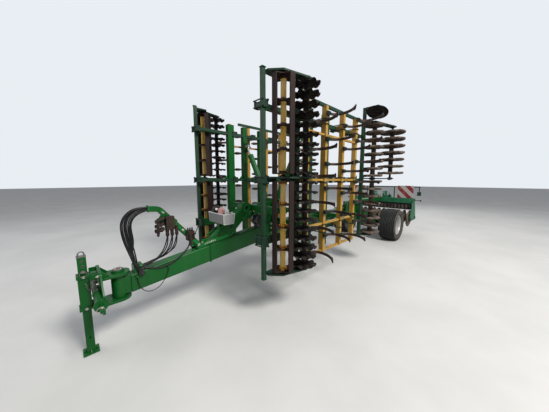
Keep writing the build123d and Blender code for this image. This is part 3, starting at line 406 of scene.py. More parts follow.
def add_ring(bm, profile, origin, axis, steps=48, wave=None):
    """Turns a closed profile of (along, radius) round an axis."""
    turn = Matrix.Translation(origin) @ basis(axis)
    rows = []
    for step in range(steps):
        angle = tau * step / steps
        shift, out = wave(angle) if wave else (0.0, 0.0)
        rows.append([
            bm.verts.new(turn @ Vector(((r + out) * cos(angle), (r + out) * sin(angle), a + shift)))
            for a, r in profile
        ])
    skin(bm, rows, ring=True)


def add_collar(bm, origin, axis, inner, outer, low, high, steps=48):
    add_ring(bm, [(low, inner), (low, outer), (high, outer), (high, inner)], origin, axis, steps)


def add_wire_ring(bm, middle, axis, radius, wire, steps=24):
    """A round ring of wire about an axis."""
    profile = [(wire * sin(tau * i / 8), radius + wire * cos(tau * i / 8)) for i in range(8)]
    add_ring(bm, profile, middle, axis, steps)


def add_tube(bm, path, radius, sides=10):
    """A pipe along a path of points."""
    points = [Vector(p) for p in path]
    side = (points[1] - points[0]).orthogonal().normalized()
    rows = []
    for i, point in enumerate(points):
        way = (points[min(i + 1, len(points) - 1)] - points[max(i - 1, 0)]).normalized()
        side = (side - way * side.dot(way)).normalized()
        other = way.cross(side)
        rows.append([
            bm.verts.new(point + (side * cos(tau * k / sides) + other * sin(tau * k / sides)) * radius)
            for k in range(sides)
        ])
    skin(bm, rows)


def add_plank(bm, start, end, thick, wide):
    """A flat bar from one point to another, whose thickness lies across the machine."""
    start, end, across = Vector(start), Vector(end), Vector(ACROSS)
    way = end - start
    along = way.normalized()
    turn = Matrix((across, along.cross(across).normalized(), along)).transposed().to_4x4()
    add_box(bm, (start + end) / 2, (thick, wide, way.length), turn)


def gusset(bm, corner, along, up, size, thick):
    """A triangular web in the corner between two members."""
    corner, along, up = Vector(corner), Vector(along), Vector(up)
    normal = along.cross(up).normalized() * thick / 2
    points = [
        corner + (along * a + up * u) * size for a, u in ((0, 0), (1, 0), (0.94, 0.12), (0.06, 1), (0, 1))
    ]
    skin(bm, [[bm.verts.new(p - normal) for p in points], [bm.verts.new(p + normal) for p in points]])


def around(place, axis, radius, count, first=0.5):
    """Places on a circle about an axis."""
    side = axis.orthogonal().normalized()
    other = axis.cross(side)
    for number in range(count):
        angle = tau * (number + first) / count
        yield place + (side * cos(angle) + other * sin(angle)) * radius


def spread(first, last, count):
    return [first + (last - first) * i / (count - 1) for i in range(count)]


def rough_wave(seed, amount, lobes=0, lobe=0.0):
    """Uneven edge of a worn or soiled ring."""
    def wave(angle):
        uneven = noise.noise(Vector((3.0 * cos(angle), 3.0 * sin(angle), seed * 7.3))) * amount
        return (uneven * 0.8, uneven + lobe * cos(lobes * angle + seed))
    return wave


# Cords: each hose is a smooth line through its route
def hose(name, points, diameter, replaces=None):
    curve = bpy.data.curves.new(name, "CURVE")
    curve.dimensions = "3D"
    curve.bevel_depth = diameter / 2
    curve.bevel_resolution = 4
    curve.resolution_u = 10
    curve.use_fill_caps = True
    spline = curve.splines.new("NURBS")
    spline.points.add(len(points) - 1)
    for point, place in zip(spline.points, points):
        point.co = (*place, 1.0)
    spline.order_u = 3
    spline.use_endpoint_u = True
    made = new_object(name, curve)
    curve.materials.append(MAT["hose"])
    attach(made, "chassis")
    if replaces:
        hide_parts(replaces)


BUNDLE = (
    (0, -3.270, 1.340), (0, -3.360, 1.340), (0, -3.440, 1.294), (0, -3.486, 1.214),
    (0, -3.486, 1.112), (0, -3.464, 0.990), (0, -3.434, 0.872), (0, -3.412, 0.765),
)
STRANDS = (
    # across and outwards at the two ends, across and outwards at the middle,
    # diameter, length, 1 where the strand passes beside the clamp
    (-0.017, 0.016, -0.026, 0.012, 0.0140, 0.747, 0), (0.017, 0.016, 0.022, 0.020, 0.0130, 0.838, 1),
    (-0.018, 0.000, -0.042, -0.014, 0.0135, 0.708, 0), (0.018, 0.000, 0.050, -0.004, 0.0135, 0.807, 1),
    (0.000, 0.000, 0.000, -0.018, 0.0140, 0.701, 0), (-0.016, -0.016, -0.024, -0.040, 0.0130, 0.666, 0),
    (0.016, -0.016, 0.034, -0.044, 0.0135, 0.771, 1), (0.001, 0.018, -0.004, 0.030, 0.0125, 0.772, 0),
    (0.002, -0.018, 0.010, -0.060, 0.0130, 0.768, 1), (-0.010, 0.008, -0.012, -0.002, 0.0130, 0.725, 0),
    (0.010, -0.008, 0.046, -0.026, 0.0125, 0.818, 1),
)
for number, (across, outward, wide, far, diameter, length, past) in enumerate(STRANDS):
    route = []
    for step, (x, y, z) in enumerate(BUNDLE):
        middle = sin(pi * step / (len(BUNDLE) - 1)) ** 0.7
        side = across + (wide - across) * middle
        out = outward + (far - outward) * middle
        lean = radians(90 - 26 * min(step, 4))
        route.append((x + side, y - out * cos(lean), z + out * sin(lean)))
    if past:
        low = 0.004 * number
        route[-2:] = [
            (0.074 - low, -3.452, 0.850), (0.094, -3.432 + low, 0.752), (0.094, -3.392 + low, 0.706 - low),
        ]
    hose(f"bundle_hose_{number + 1}", route, diameter, replaces=None if number else "hose_bundle")

HOSES = (
    # name, node, hoses in it, diameter, length, route
    ("supply_line_1", "supply_hose_1", 2, 0.013, 0.425, (
        (0.072, -3.100, 1.020), (0.068, -3.112, 0.925), (0.058, -3.160, 0.835),
        (0.055, -3.245, 0.770), (0.045, -3.310, 0.739), (0.045, -3.360, 0.735))),
    ("supply_line_2", "supply_hose_2", 2, 0.013, 0.474, (
        (0.072, -3.050, 1.020), (0.068, -3.062, 0.905), (0.052, -3.130, 0.820),
        (0.036, -3.225, 0.768), (0.015, -3.300, 0.739), (0.015, -3.360, 0.735))),
    ("supply_line_3", "supply_hose_3", 2, 0.013, 0.523, (
        (0.072, -3.000, 1.020), (0.066, -3.014, 0.900), (0.042, -3.090, 0.815),
        (0.008, -3.200, 0.772), (-0.015, -3.290, 0.741), (-0.015, -3.360, 0.735))),
    ("return_line", "return_hose", 1, 0.018, 0.625, (
        (0.065, -3.360, 0.722), (0.078, -3.300, 0.712), (0.092, -3.210, 0.690), (0.094, -3.100, 0.700),
        (0.092, -3.000, 0.745), (0.082, -2.920, 0.800), (0.064, -2.858, 0.860), (0.060, -2.840, 0.925))),
    ("lamp_lead", "lamp_cable", 1, 0.008, 0.547, (
        (0.082, -3.420, 0.640), (0.086, -3.418, 0.585), (0.090, -3.398, 0.520), (0.094, -3.355, 0.468),
        (0.095, -3.290, 0.450), (0.094, -3.225, 0.472), (0.090, -3.170, 0.525), (0.086, -3.125, 0.590),
        (0.082, -3.110, 0.660))),
)
for name, node, count, diameter, length, points in HOSES:
    for number in range(count):
        shift = number - (count - 1) / 2
        route = []
        for step, (x, y, z) in enumerate(points):
            part = sin(pi * step / (len(points) - 1))
            route.append((x + shift * 0.014, y + shift * 0.038 * part, z + shift * 0.030 * part))
        own = name if count == 1 else f"{name}_{number + 1}"
        hose(own, route, diameter, replaces=None if number else node)


# Materials of the solid pieces
NODE_MATERIALS = (
    # material, nodes
    ("green", "drawbar centre_frame front_strut hose_arm hitch_head stand_leg axle hose_clamp"),
    ("green", "lift_barrel fold_barrel"),
    ("dustygreen", "rear_frame"),
    ("chrome", "lift_rod fold_rod"),
    ("steel", "head_pin"),
    ("tray", "tool_box"),
    ("black", "pressure_bottle"),
    ("brown", "coupler_block"),
    ("dark", "light_rail tool_carriers"),
    ("stripes", "warning_boards"),
    ("iron", "front_centre_roller rear_centre_roller inner_ring_roller outer_ring_roller last_ring_roller"),
    ("wing", "wing_frame"),
    ("yellow", "tine_frame"),
    ("tine", "tines"),
    ("disc", "disc_roller end_disc"),
    ("rustbrown", "lower_cage_roller upper_cage_roller"),
    ("tyre", "tyre"),
    ("silver", "wheel_rim"),
)
for material, names in NODE_MATERIALS:
    for short in names.split():
        for full in (short, "left_" + short, "right_" + short):
            if full in nodes:
                nodes[full].data.materials.clear()
                nodes[full].data.materials.append(MAT[material])


# Detail of the wings; places are given for the left one and mirrored for the right
def notched_discs(bm):
    """Scalloped, slightly dished discs on a tube with spacers."""
    steps = 108
    for number in range(DISC_COUNT):
        middle = Vector((*DISC, 0.620 + 2.100 * number / (DISC_COUNT - 1)))
        rows = []
        for step in range(steps):
            angle = tau * step / steps
            edge = 0.134 + 0.021 * min(1.0, 1.3 * abs(cos(4.5 * angle))) ** 0.8
            flutter = 0.013 * cos(9 * angle)
            turned = angle + number * 0.31
            way = Vector((cos(turned), sin(turned), 0.0))
            row = []
            for radius, rise in (
                (0.030, 0.014), (0.070, 0.014), (0.110, 0.008), (edge - 0.006, 0.0), (edge, -0.003),
                (edge, -0.005), (edge - 0.004, -0.006), (0.110, 0.001), (0.070, 0.007), (0.030, 0.007),
            ):
                lift = rise + flutter * max(0.0, radius / edge - 0.45) / 0.55
                row.append(bm.verts.new(middle + way * radius + Vector((0, 0, lift))))
            rows.append(row)
        skin(bm, rows, ring=True)
        spacer = [(0.000, 0.020), (0.000, 0.052), (0.020, 0.052), (0.024, 0.044), (0.024, 0.020)]
        add_ring(bm, spacer, middle, UP, 20)
    for low, high in ((0.597, 1.643), (1.691, 2.743)):
        add_bar(bm, (*DISC, low), (*DISC, high), 0.032, 20)
    add_bar(bm, (*DISC, 0.566), (*DISC, 2.774), 0.020, 16)


pair(
    "scalloped_discs", "disc_roller", "disc", notched_discs,
    replaces="disc_roller", slot="dark_disc", smooth=30,
)


def ring_stack(bm, origin, axis, places, radius, shaft, seed):
    """Soiled rings on a tube; each ring has a thin web and a rounded rim."""
    origin, axis = Vector(origin), Vector(axis)
    tube, rim = 0.045, radius - 0.0112
    half = (
        (0.009, rim), (0.020, rim - 0.014), (0.021, rim - 0.044), (0.012, rim - 0.072),
        (0.012, tube + 0.018), (0.024, tube),
    )
    profile = [(-a, r) for a, r in reversed(half)] + list(half)
    for number, place in enumerate(places):
        wave = rough_wave(seed + number, 0.009, 26, 0.0022)
        add_ring(bm, profile, origin + axis * place, axis, 64, wave)
    add_stack(bm, origin, axis, (*shaft, 0.020, 16))
    first, last, steps = places[0] - 0.023, places[-1] + 0.023, 60
    lumps = []
    for i in range(steps + 1):
        lump = 0.008 * noise.noise(Vector((i * 0.9, seed, 0.0)))
        lumps.append((first + (last - first) * i / steps, tube - 0.003 + lump))
    add_ring(bm, [(first, 0.020)] + lumps + [(last, 0.020)], origin, axis, 24)


RING_TABLE = (
    # name, place in RING_PLACES, first, last, rings, shaft
    ("inner_ring_roller", 0, 0.645, 1.620, 8, (0.592, 1.673)),
    ("outer_ring_roller", 0, 1.730, 2.655, 8, (1.677, 2.708)),
    ("last_ring_roller", 1, 1.790, 2.595, 7, (1.677, 2.708)),
)
for name, place, first, last, count, shaft in RING_TABLE:
    x, y, radius = RING_PLACES[place]
    places = spread(first, last, count)
    pair(
        "soiled_" + name, name, "iron",
        lambda bm: ring_stack(bm, (x, y, 0.0), UP, places, radius, shaft, len(name) + count),
        replaces=name, slot="dusty_iron", smooth=40,
    )
CENTRE_TABLE = (
    # name, place along the machine, half the length over the rings, rings
    ("front_centre_roller", CENTRE_ROWS[0], 0.912, 13),
    ("rear_centre_roller", CENTRE_ROWS[1], 0.837, 12),
)
for name, y, reach, count in CENTRE_TABLE:
    places = spread(-reach, reach, count)
    single(
        "soiled_" + name, name, "iron",
        lambda bm: ring_stack(bm, (0.0, y, ROLLER_Z), ACROSS, places, CENTRE_RADIUS, (-0.972, 0.972), count),
        replaces=name, slot="dusty_iron", smooth=40,
    )


CAGE_SECTIONS = (
    # name, lowest and highest end, material of the collars
    ("lower", 0.605, 1.635, "yellowrust"),
    ("upper", 1.715, 2.735, "rustbrown"),
)
CAGE_TURN, CAGE_RADIUS, CAGE_PLATES = radians(-1.5), 0.1325, 5


def cage_bars(bm, low, high):
    """Four flat bars on cross-shaped plates with hollow sides."""
    outline = []
    for number in range(4):
        angle = CAGE_TURN + number * pi / 2
        way = Vector((cos(angle), sin(angle), 0.0)) * CAGE_RADIUS
        middle = Vector((*CAGE, (low + high) / 2)) + way
        add_box(bm, middle, (0.008, 0.070, high - low), Matrix.Rotation(angle, 4, "Z"))
        for turn, radius in (
            (-0.255, CAGE_RADIUS), (0.255, CAGE_RADIUS), (0.50, 0.100), (pi / 4, 0.088),
            (pi / 2 - 0.50, 0.100),
        ):
            outline.append((radius * cos(angle + turn), radius * sin(angle + turn)))
    for level in spread(low + 0.005, high - 0.005, CAGE_PLATES):
        skin(bm, [
            [bm.verts.new((CAGE[0] + x, CAGE[1] + y, level + lift)) for x, y in outline]
            for lift in (-0.005, 0.005)
        ])
    add_bar(bm, (*CAGE, low - 0.039), (*CAGE, high + 0.039), 0.0198, 20)


def cage_collars(bm, low, high):
    """Split clamp collars on the tube beside each plate, each with a bolt through its ears."""
    for number, level in enumerate(spread(low + 0.005, high - 0.005, CAGE_PLATES)):
        place = Vector((*CAGE, level + (0.017 if number < CAGE_PLATES - 1 else -0.017)))
        add_collar(bm, place, UP, 0.033, 0.046, -0.011, 0.011, 28)
        for turn in (-0.9, 2.24):
            way, across = Vector((cos(turn), sin(turn), 0)), Vector((-sin(turn), cos(turn), 0))
            for off in (-0.009, 0.009):
                ear = place + way * 0.056 + across * off
                add_box(bm, ear, (0.028, 0.008, 0.022), Matrix.Rotation(turn, 4, "Z"))
            add_bolt(bm, place + way * 0.060 + across * 0.013, across, 0.012)


def cage_tube(bm, low, high):
    add_bar(bm, (*CAGE, low - 0.001), (*CAGE, high + 0.001), 0.0320, 32)


for section, low, high, collars in CAGE_SECTIONS:
    node = f"{section}_cage_roller"
    for part, material, build, options in (
        ("bars", "cagebar", cage_bars, {"replaces": node, "slot": "rusty_paint", "bevel": 0.0015}),
        ("tube", "tube", cage_tube, {}),
        ("collars", collars, cage_collars, {"bevel": 0.0015}),
    ):
        pair(f"{section}_cage_{part}", node, material, lambda bm: build(bm, low, high), **options)


def bearing(bm, place, axis, radius=0.050, height=0.016):
    """A round flanged bearing with four bolts."""
    place, axis, bore = Vector(place), Vector(axis).normalized(), 0.0225
    profile = [
        (0.0, bore), (0.0, radius), (0.005, radius), (0.007, radius * 0.74), (height, radius * 0.62),
        (height, bore),
    ]
    add_ring(bm, profile, place, axis, 28)
    for spot in around(place + axis * 0.005, axis, radius * 0.84, 4):
        add_bolt(bm, spot, axis, 0.010)


def shaft_cap(bm, place, axis, radius=0.042):
    """A closed cap over a shaft's end on the outer side of its plate."""
    place, axis = Vector(place), Vector(axis).normalized()
    seat = place + axis * 0.006
    add_bar(bm, place, seat, radius, 24)
    add_bar(bm, seat, place + axis * 0.020, radius * 0.6, 20, radius * 0.5)
    for spot in around(seat, axis, radius * 0.78, 4):
        add_bolt(bm, spot, axis, 0.009)


FIRST_RINGS, LAST_RINGS = RING_PLACES[0][:2], RING_PLACES[1][:2]
WING_BEARINGS = (
    # kind, place, height, direction
    *((kind, place, z, way) for place in (CAGE, DISC) for kind, z, way in (
        (bearing, 0.575, UP), (bearing, 1.665, DOWN), (bearing, 2.765, DOWN),
        (shaft_cap, 0.555, DOWN), (shaft_cap, 2.785, UP))),
    (bearing, CAGE, 1.685, UP),
    (bearing, FIRST_RINGS, 0.600, UP), (bearing, FIRST_RINGS, 1.665, DOWN), (bearing, FIRST_RINGS, 1.685, UP),
    (bearing, FIRST_RINGS, 2.700, DOWN), (bearing, LAST_RINGS, 1.685, UP), (bearing, LAST_RINGS, 2.700, DOWN),
    (shaft_cap, FIRST_RINGS, 0.580, DOWN), (shaft_cap, FIRST_RINGS, 2.720, UP),
    (shaft_cap, LAST_RINGS, 1.665, DOWN), (shaft_cap, LAST_RINGS, 2.720, UP),
)


def wing_bearings(bm):
    for add, place, z, way in WING_BEARINGS:
        add(bm, (*place, z), way)


pair("bearings", "wing", "black", wing_bearings)


def beam_clamps(bm):
    """Two U-bolts and a back plate where each tine beam crosses a rail."""
    for y in BEAM_YS:
        for z in RAIL_ZS:
            half = 0.058 if z == RAIL_ZS[0] else 0.036
            for rise in (z - half, z + half):
                for across in (y - 0.040, y + 0.040):
                    add_bar(bm, (0.694, across, rise), (0.921, across, rise), 0.007, 10)
                    add_bolt(bm, (0.700, across, rise), (-1, 0, 0), 0.018)
                add_bar(bm, (0.922, y - 0.040, rise), (0.922, y + 0.040, rise), 0.007, 10)
            add_box(bm, (0.705, y, z), (0.010, 0.100, 2 * half + 0.030))


pair("beam_clamps", "wing", "dark", beam_clamps, bevel=0.002)
TINE_PLACES = [
    (y, first + number * TINE_PITCH)
    for y, first in zip(BEAM_YS, FIRST_TINE_ZS)
    for number in range(TINE_COUNT)
]


def tine_bolts(bm):
    for y, z in TINE_PLACES:
        add_box(bm, (0.9485, y, z), (0.007, 0.064, 0.050))
        for across in (-0.019, 0.019):
            add_bolt(bm, (0.952, y + across, z), ACROSS, 0.017)


pair("tine_bolts", "wing", "dark", tine_bolts, bevel=0.0015)

# The end of a tine, across and along the machine, and the slant of its outer face
TIP, SLANT = Vector((1.3356, -0.0361)), radians(38)
OUT, AHEAD = Vector((cos(SLANT), sin(SLANT))), Vector((sin(SLANT), -cos(SLANT)))


def shares(bm):
    """A narrow pointed share on the outer face of each tine's end, with its bolt."""
    inner = TIP + OUT * 0.0055
    for y, z in TINE_PLACES:
        rows = []
        for along, half, thick in (
            (-0.150, 0.016, 0.004), (-0.120, 0.026, 0.007), (-0.050, 0.030, 0.008), (-0.016, 0.014, 0.004),
        ):
            corners = []
            for share, side in ((0.0, -1), (0.4, -1), (1.0, 0), (0.4, 1), (0.0, 1)):
                point = inner + AHEAD * along + OUT * thick * share
                corners.append(bm.verts.new((point.x, y + point.y, z + side * half)))
            rows.append(corners)
        skin(bm, rows)
        seat = inner + AHEAD * -0.085 + OUT * 0.0075
        add_stack(bm, (seat.x, y + seat.y, z), (*OUT, 0), (0.0, 0.003, 0.009, 12))


pair("shares", "wing", "share", shares, smooth=20)


def frame_brackets(bm):
    """Clamp plates with bolts between the posts and the rails, and bolted plates at the rails' ends."""
    post_y, end_y = -2.316, 0.140
    for z in RAIL_ZS:
        half = 0.042 if z != RAIL_ZS[0] else 0.060
        add_box(bm, (0.847, post_y, z), (0.010, 0.096, 2 * half))
        add_box(bm, (0.704, -2.312, z), (0.012, 0.058, 2 * half))
        for y in (post_y - 0.037, post_y + 0.037):
            for rise in (z - half + 0.008, z + half - 0.008):
                add_bolt(bm, (0.852, y, rise), ACROSS, 0.020)
                add_bar(bm, (0.705, y, rise), (0.852, y, rise), 0.007, 10)
    for z in RAIL_ZS[1:]:
        add_box(bm, (0.851, end_y, z), (0.010, 0.054, 0.130))
        for rise in (-0.050, 0.050):
            for across in (-0.018, 0.018):
                add_bolt(bm, (0.856, end_y + across, z + rise), ACROSS, 0.015)


pair("frame_brackets", "wing", "dark", frame_brackets, bevel=0.003)


def wing_gussets(bm):
    """Webs at the uprights and rails, and caps on the ends of uprights and post."""
    for y, width, cap in ((-1.720, 0.120, 0.126), (-1.420, 0.080, 0.090), (-1.020, 0.100, 0.090)):
        for z, half in ((RAIL_ZS[0], 0.050), (RAIL_ZS[1], 0.024)):
            for way in BOTH:
                gusset(bm, (0.750, y + way * width / 2, z + half), (0, way, 0), UP, 0.075, 0.010)
        for z in (0.637, 2.603):
            add_box(bm, (0.750, y, z), (0.086, cap, 0.006))
    for z, way in ((1.000, 1), (1.626, -1), (1.674, 1), (2.426, -1)):
        gusset(bm, (0.750, 0.100, z), FORWARD, (0, 0, way), 0.060, 0.010)
        gusset(bm, (0.815, -2.291, z), (-0.26, 0.97, 0), (0, 0, way), 0.060, 0.010)
    for z in (0.503, 2.807):
        add_box(bm, (0.816, -2.316, z), (0.056, 0.056, 0.006))


pair("wing_gussets", "wing", "green", wing_gussets, bevel=0.002)


def hinge_hardware(bm):
    """Heads and keepers of the hinge pins, and of the fold cylinder's outer pin."""
    for y in HINGE_YS:
        for way in BOTH:
            face = y + way * 0.062
            add_stack(bm, (HINGE_X, face, HINGE_Z), (0, way, 0), (0.0, 0.008, 0.034, 24))
            add_bolt(bm, (HINGE_X, face + way * 0.008, HINGE_Z), (0, way, 0), 0.030)
            add_box(bm, (0.620, y + way * 0.0485, HINGE_Z), (0.050, 0.006, 0.040))
            add_bolt(bm, (0.632, y + way * 0.0515, HINGE_Z), (0, way, 0), 0.014)
    x, y, z = FOLD_TIP
    for way in BOTH:
        face = y + way * 0.039
        add_stack(bm, (x, face, z), (0, way, 0), (0.0, 0.006, 0.030, 20), (0.0, 0.020, 0.020, 20))
        add_stack(bm, (x, face + way * 0.014, z), ACROSS, (-0.030, 0.030, 0.003, 8))


pair("hinge_hardware", "wing", "steel", hinge_hardware)


# Detail of the wheels
TYRE_CROWN, TYRE_ROUND = 0.4295, 0.30


def ribbed_tyre(bm):
    """A low tyre with nine ribs round the tread, bulged walls and bead rings."""
    wall = (
        (-0.168, 0.2623), (-0.178, 0.270), (-0.184, 0.283), (-0.198, 0.296), (-0.208, 0.318),
        (-0.213, 0.342), (-0.2135, 0.349), (-0.2118, 0.352), (-0.2135, 0.356), (-0.211, 0.380),
        (-0.203, 0.398), (-0.192, 0.410), (-0.181, 0.417),
    )
    rib_shape = (
        (0.0000, 0.016), (0.0015, 0.0015), (0.0050, 0.0), (0.0135, 0.0), (0.0220, 0.0), (0.0255, 0.0015),
        (0.0270, 0.016),
    )
    profile = list(wall)
    for rib in range(9):
        for along, drop in rib_shape:
            place = -0.1675 + rib * 0.0385 + along
            profile.append((place, TYRE_CROWN - TYRE_ROUND * place * place - drop))
    profile += [(-a, r) for a, r in reversed(wall)]
    add_ring(bm, profile, WHEEL, ACROSS, 120)


def recolour(pieces, material, chosen):
    """Another material for the faces chosen by their place along and distance from the wheel's axle."""
    for piece in pieces:
        piece.data.materials.append(MAT[material])
        number = len(piece.data.materials) - 1
        for face in piece.data.polygons:
            x, y, z = face.center
            if chosen(abs(x) - WHEEL[0], hypot(y - WHEEL[1], z - WHEEL[2])):
                face.material_index = number


def on_rib(along, radius):
    return abs(along) < 0.17 and radius > TYRE_CROWN - 0.003 - TYRE_ROUND * along * along


def on_wall(along, radius):
    return abs(along) > 0.172 and radius < 0.405


tyres = pair("ribbed_tyre", "wheel", "tyre", ribbed_tyre, replaces="tyre", slot="tyre", smooth=40)
recolour(tyres, "ribs", on_rib)
recolour(tyres, "sidewall", on_wall)


def dished_rim(bm):
    """Rim band with flanges, a dished disc with ten oval holes, and a hub."""
    outer = ((0.130, 0.240), (0.150, 0.250), (0.164, 0.2618), (0.170, 0.2618))
    inner = ((0.172, 0.254), (0.160, 0.243), (0.140, 0.233))
    band = [(-a, r) for a, r in reversed(outer)] + list(outer) + list(inner)
    band += [(-a, r) for a, r in reversed(inner)]
    add_ring(bm, band, WHEEL, ACROSS, 96)
    dish = (
        (0.2345, -0.004), (0.222, -0.002), (0.208, -0.006), (0.194, -0.012), (0.180, -0.019), (0.166, -0.026),
        (0.152, -0.032), (0.136, -0.036), (0.118, -0.034), (0.108, -0.020), (0.098, 0.004), (0.084, 0.010),
        (0.072, 0.010),
    )
    steps, thick = 100, 0.010
    turn = Matrix.Translation(WHEEL) @ basis(ACROSS)
    ways = [(cos(tau * s / steps), sin(tau * s / steps)) for s in range(steps)]
    upper, lower = [
        [[bm.verts.new(turn @ Vector((r * x, r * y, a - down))) for r, a in dish] for x, y in ways]
        for down in (0.0, thick)
    ]
    # Steps of every tenth of the circle that are open in each row of faces
    open_steps = {2: (3, 4, 5, 6), 3: (2, 3, 4, 5, 6, 7), 4: (2, 3, 4, 5, 6, 7), 5: (3, 4, 5, 6)}

    def is_open(step, row):
        return step % 10 in open_steps.get(row, ())

    for s in range(steps):
        n = (s + 1) % steps
        for row in range(len(dish) - 1):
            if not is_open(s, row):
                bm.faces.new((upper[s][row], upper[n][row], upper[n][row + 1], upper[s][row + 1]))
                bm.faces.new((lower[s][row + 1], lower[n][row + 1], lower[n][row], lower[s][row]))
                continue
            for beside, i in (((s - 1) % steps, s), (n, n)):
                if not is_open(beside, row):
                    bm.faces.new((upper[i][row], upper[i][row + 1], lower[i][row + 1], lower[i][row]))
            for beside, i in ((row - 1, row), (row + 1, row + 1)):
                if not is_open(s, beside):
                    bm.faces.new((upper[s][i], upper[n][i], lower[n][i], lower[s][i]))
    hub = [
        (-0.040, 0.0355), (-0.040, 0.074), (0.020, 0.074), (0.026, 0.068), (0.050, 0.064), (0.058, 0.052),
        (0.064, 0.020), (0.064, 0.001), (0.030, 0.001), (0.030, 0.0355),
    ]
    add_ring(bm, hub, WHEEL, ACROSS, 48)


def on_dish(along, radius):
    return radius < 0.2325


rims = pair("dished_rim", "wheel", "silver", dished_rim, replaces="wheel_rim", slot="silver_rim", smooth=40)
recolour(rims, "dish", on_dish)


def wheel_nuts(bm):
    for number in range(10):
        angle = tau * (number + 0.5) / 10
        place = (WHEEL[0] + 0.010, WHEEL[1] + 0.088 * cos(angle), WHEEL[2] + 0.088 * sin(angle))
        add_bolt(bm, place, ACROSS, 0.018)


pair("wheel_nuts", "wheel", "zinc", wheel_nuts)


def dished_end_disc(bm):
    """A plain concave disc on a hub with five bolts."""
    tilt = radians(25)
    centre, axis = Vector((1.050, 0.150, 2.850)), Vector((0.0, sin(tilt), cos(tilt)))
    profile = [
        (0.010, 0.030), (0.009, 0.060), (0.004, 0.095), (-0.006, 0.130), (-0.018, 0.160), (-0.028, 0.1785),
        (-0.030, 0.178), (-0.023, 0.158), (-0.011, 0.129), (-0.001, 0.094), (0.003, 0.060), (0.004, 0.030),
    ]
    add_ring(bm, profile, centre, axis, 96, rough_wave(4.0, 0.0016))
    bore = 0.0185
    hub = [(-0.010, bore), (-0.010, 0.036), (0.022, 0.044), (0.030, 0.036), (0.040, 0.030), (0.040, bore)]
    add_ring(bm, hub, centre, axis, 36)
    for spot in around(centre + axis * 0.002, axis, 0.055, 5, first=0.0):
        add_bolt(bm, spot, -axis, 0.012)


pair("dished_end_disc", "end_disc", "disc", dished_end_disc, replaces="end_disc", slot="dark_disc", smooth=40)


# Detail of the chassis
ARM_FOOT, ARM_TOP = Vector((0.0, -2.690, 0.798)), Vector((0.0, -3.160, 1.330))


def drawbar_faces(y):
    """Heights of the drawbar's lower and upper face at a place along it."""
    return 0.490 + 0.1079 * (y - DRAWBAR_END), 0.680 + DRAWBAR_RISE * (y - DRAWBAR_END)


def arm_plates(bm):
    for side in BOTH:
        start, end = (ARM_FOOT.lerp(ARM_TOP, part) + Vector((side * 0.0335, 0, 0)) for part in (0.04, 0.97))
        add_plank(bm, start, end, 0.007, 0.032)
    add_box(bm, (0.0, -3.262, 1.340), (0.074, 0.010, 0.074))
    add_box(bm, (0.0, -2.690, 0.820), (0.130, 0.130, 0.010))
    gusset(bm, (0.0, -2.750, 0.812), (0, -1, DRAWBAR_RISE), UP, 0.070, 0.010)


single("arm_plates", "chassis", "bright", arm_plates, bevel=0.0015)


def white_bolts(bm):
    """Zinc heads on the arm and its foot, at the strut's foot and on the drawbar's rear flange."""
    for y, z in ((-3.020, 1.120), (-3.110, 1.225)):
        add_bolt(bm, (0.042, y, z), ACROSS, 0.020)
    for side in BOTH:
        for part in (0.07, 0.27, 0.48, 0.70, 0.92):
            place = ARM_FOOT.lerp(ARM_TOP, part)
            add_bolt(bm, (side * 0.037, place.y, place.z), (side, 0, 0), 0.021)
        for number in range(5):
            along = 0.027 * number
            add_bolt(bm, (side * 0.058, -2.620 + along, 0.838 + DRAWBAR_RISE * along), (side, 0, 0), 0.015)
        for z in (0.725, 0.790, 0.870, 0.940):
            add_bolt(bm, (side * 0.098, -1.520, z), FORWARD, 0.026)
        for x in (-0.048, 0.048):
            add_bolt(bm, (x, -2.690 + side * 0.048, 0.825), UP, 0.018)


single("white_bolts", "chassis", "zinc", white_bolts)


def strut_plates(bm):
    """Foot plates, edge strips and the cross bar's stiffeners on the strut."""
    for side in BOTH:
        x = side * 0.054
        add_plank(bm, (x, -2.640, 0.836), (x, -2.300, 0.883), 0.008, 0.050)
        add_plank(bm, (x, -2.575, 0.905), (x, -2.060, 1.232), 0.006, 0.022)
        add_plank(bm, (x, -2.270, 0.872), (x, -1.960, 1.160), 0.006, 0.022)
        gusset(bm, (side * 0.050, -1.830, 1.200), (side, 0, 0), DOWN, 0.110, 0.012)
        add_collar(bm, (side * 0.064, -1.990, 1.240), (side, 0, 0), 0.033, 0.060, -0.004, 0.006, 32)
        for z in (1.205, 1.275):
            add_box(bm, (side * 0.525, -1.870, z), (0.060, 0.084, 0.008))


single("strut_plates", "chassis", "bright", strut_plates, bevel=0.0015)
STRUT_OPENINGS = (
    # three corners of each
    ((-2.490, 0.865), (-2.395, 0.875), (-2.440, 0.930)),
    ((-2.300, 0.960), (-2.215, 0.985), (-2.240, 1.055)),
)


def strut_hole_shades(bm):
    """Dark three-cornered plates with blunt corners on the strut's side plates, as painted shade in place of
    openings.
    """
    for side in BOTH:
        for corners in STRUT_OPENINGS:
            middle = sum((Vector(c) for c in corners), Vector((0, 0))) / 3
            ring = []
            for number, corner in enumerate(corners):
                for turn in BOTH:
                    ring.append(Vector(corner).lerp(Vector(corners[(number + turn) % 3]), 0.16))
            low = [bm.verts.new((side * 0.0502, p.x, p.y)) for p in ring]
            high = [bm.verts.new((side * 0.0512, *(p.lerp(middle, 0.03)))) for p in ring]
            bm.faces.new(high)
            for i in range(6):
                bm.faces.new((low[i], low[(i + 1) % 6], high[(i + 1) % 6], high[i]))


single("strut_hole_shades", "chassis", "cavity", strut_hole_shades)


